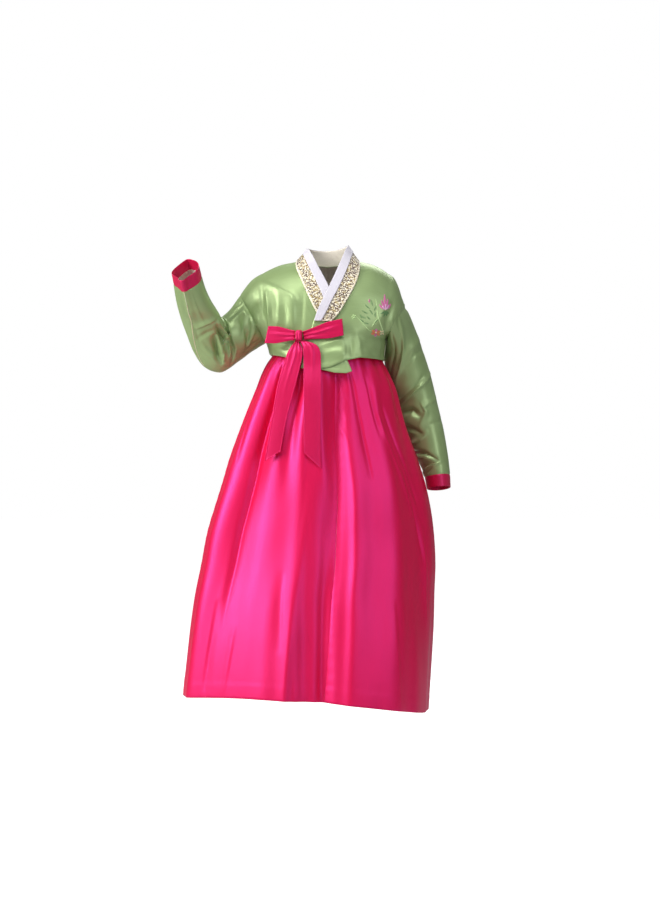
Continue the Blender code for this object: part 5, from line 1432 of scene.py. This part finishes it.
def make_piping_painted_highlight(finish):
    """A narrow turned edge that stands up along the raised sleeve's underarm seam, in a pale green that is a
    painted highlight along the sleeve's sharp underarm fold.
    """
    surface, middle, length = sleeve_form("raised", SLEEVE_RAISED, ARMHOLE_RAISED)
    u = np.linspace(0.44, 0.934, PIPING_ROWS)[:, None]
    v = seam_angle("raised", u) + np.linspace(-PIPING_HALF_ANGLE, PIPING_HALF_ANGLE, PIPING_COLUMNS)[None]
    u = np.broadcast_to(u, v.shape)
    point = surface(u, v)
    out = unit(point - middle(u))
    crown = PIPING_HIGH * (1 - np.linspace(-1, 1, PIPING_COLUMNS) ** 2)[None] + 0.1
    creases = sleeve_creases("raised", u, v, length)
    height = crown + creases + limpness(point, 5) + underarm_height("raised", u, v, length)
    points, faces, uvs, _ = shell(point + out * height[..., None], point - out * 0.6, False,
                                  faces_turned(point + out, point), ())
    joined("sleeve_seam_piping_painted_highlight", [(points, faces, uvs)], finish["piping"])


# ---------------------------------------------------------------- setting


FLOOR_Z, FLOOR_SIZE = -1.06, 30
FLOOR_GLOW = 0.86  # lifts the floor to the white of the background, so that only the soft shadow shows
CAMERA_PLACE = (0.0063, -4.2, -0.3948)
CAMERA_LENS, CAMERA_SENSOR = 80, 36  # mm, the sensor's height


def make_setting():
    """A flat pale floor, a camera level with the garment, soft lights and the light of the room."""
    bpy.ops.object.select_all(action="DESELECT")
    bpy.ops.mesh.primitive_plane_add(size=FLOOR_SIZE, location=(0, 0, FLOOR_Z))
    floor = bpy.context.object
    floor.name = "studio_floor"
    finish, tree, shader = new_finish("pale_floor_paint")
    grain = add_node(tree, "ShaderNodeTexNoise", {"Scale": 3.0, "Detail": 2.0})
    place = add_node(tree, "ShaderNodeTexCoord")
    tree.links.new(place.outputs["Object"], grain.inputs["Vector"])
    tree.links.new(between(tree, grain.outputs["Fac"], "#c4c4c4", "#cccccc"), shader.inputs["Base Color"])
    shader.inputs["Roughness"].default_value = 0.9
    shader.inputs["Emission Color"].default_value = (1, 1, 1, 1)
    seen = add_node(tree, "ShaderNodeLightPath")
    glow = ranged(tree, seen.outputs["Is Camera Ray"], 0.0, FLOOR_GLOW)
    tree.links.new(glow, shader.inputs["Emission Strength"])
    floor.data.materials.append(finish)

    camera = bpy.data.cameras.new("camera")
    camera.lens = CAMERA_LENS
    camera.sensor_fit = "VERTICAL"
    camera.sensor_height = CAMERA_SENSOR
    view = bpy.data.objects.new("camera", camera)
    view.location = CAMERA_PLACE
    view.rotation_euler = (math.radians(90), 0, 0)
    bpy.context.scene.collection.objects.link(view)
    bpy.context.scene.camera = view

    for name, azimuth, distance, height, width, tall, power, colour in LIGHTS:
        light = bpy.data.lights.new(name, "AREA")
        light.shape = "RECTANGLE"
        light.size, light.size_y = width, tall
        light.energy = power
        light.color = linear(colour)[:3]
        lamp = bpy.data.objects.new(name, light)
        turn = math.radians(azimuth)
        lamp.location = (distance * math.sin(turn), -distance * math.cos(turn), height)
        lean = math.atan2(distance, height - LIT_HEIGHT)
        lamp.rotation_euler = (lean, 0, turn)
        bpy.context.scene.collection.objects.link(lamp)

    world = bpy.data.worlds.new("studio")
    world.use_nodes = True
    tree = world.node_tree
    background = tree.nodes["Background"]
    background.inputs["Color"].default_value = (1, 1, 1, 1)
    way = add_node(tree, "ShaderNodeTexCoord")
    upwards = add_node(tree, "ShaderNodeSeparateXYZ", links={"Vector": way.outputs["Generated"]})
    from_below, from_above = WORLD_LIGHT
    soft = add_node(tree, "ShaderNodeMapRange",
                    {"From Min": -0.3, "From Max": 1.0, "To Min": from_below, "To Max": from_above},
                    {"Value": upwards.outputs["Z"]})
    seen = add_node(tree, "ShaderNodeLightPath")
    strength = add_node(tree, "ShaderNodeMapRange", {"To Max": 1.0},
                        {"Value": seen.outputs["Is Camera Ray"], "To Min": soft.outputs["Result"]})
    tree.links.new(strength.outputs["Result"], background.inputs["Strength"])
    bpy.context.scene.world = world
    bpy.context.scene.view_settings.view_transform = "Standard"


LIT_HEIGHT = -0.45  # what the lights are turned towards
# Lights: name, azimuth from the front towards the wearer's left, distance, height, width, length, power,
# colour
LIGHTS = (
    ("key", -62, 2.8, 0.8, 1.2, 2.2, 102.0, "#fffdf8"),
    ("overhead", -8, 2.0, 2.6, 1.5, 1.5, 52.0, "#fffefa"),
    ("fill", 38, 3.0, 0.5, 0.9, 1.8, 20.0, "#f8faff"),
    ("back", 165, 2.2, 1.8, 1.4, 1.4, 30.0, "#ffffff"),
)
WORLD_LIGHT = (0.1, 0.34)  # strength from below and from straight above


def main():
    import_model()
    finish = make_finishes()
    make_jacket_body(finish)
    make_sleeve("raised", SLEEVE_RAISED, ARMHOLE_RAISED, finish)
    make_sleeve("hanging", SLEEVE_HANGING, ARMHOLE_HANGING, finish)
    make_piping_painted_highlight(finish)
    make_collar(finish)
    make_collar_figures(finish)
    make_skirt(finish)
    make_band(finish)
    make_bow(finish)
    make_embroidery(finish)
    make_setting()


main()
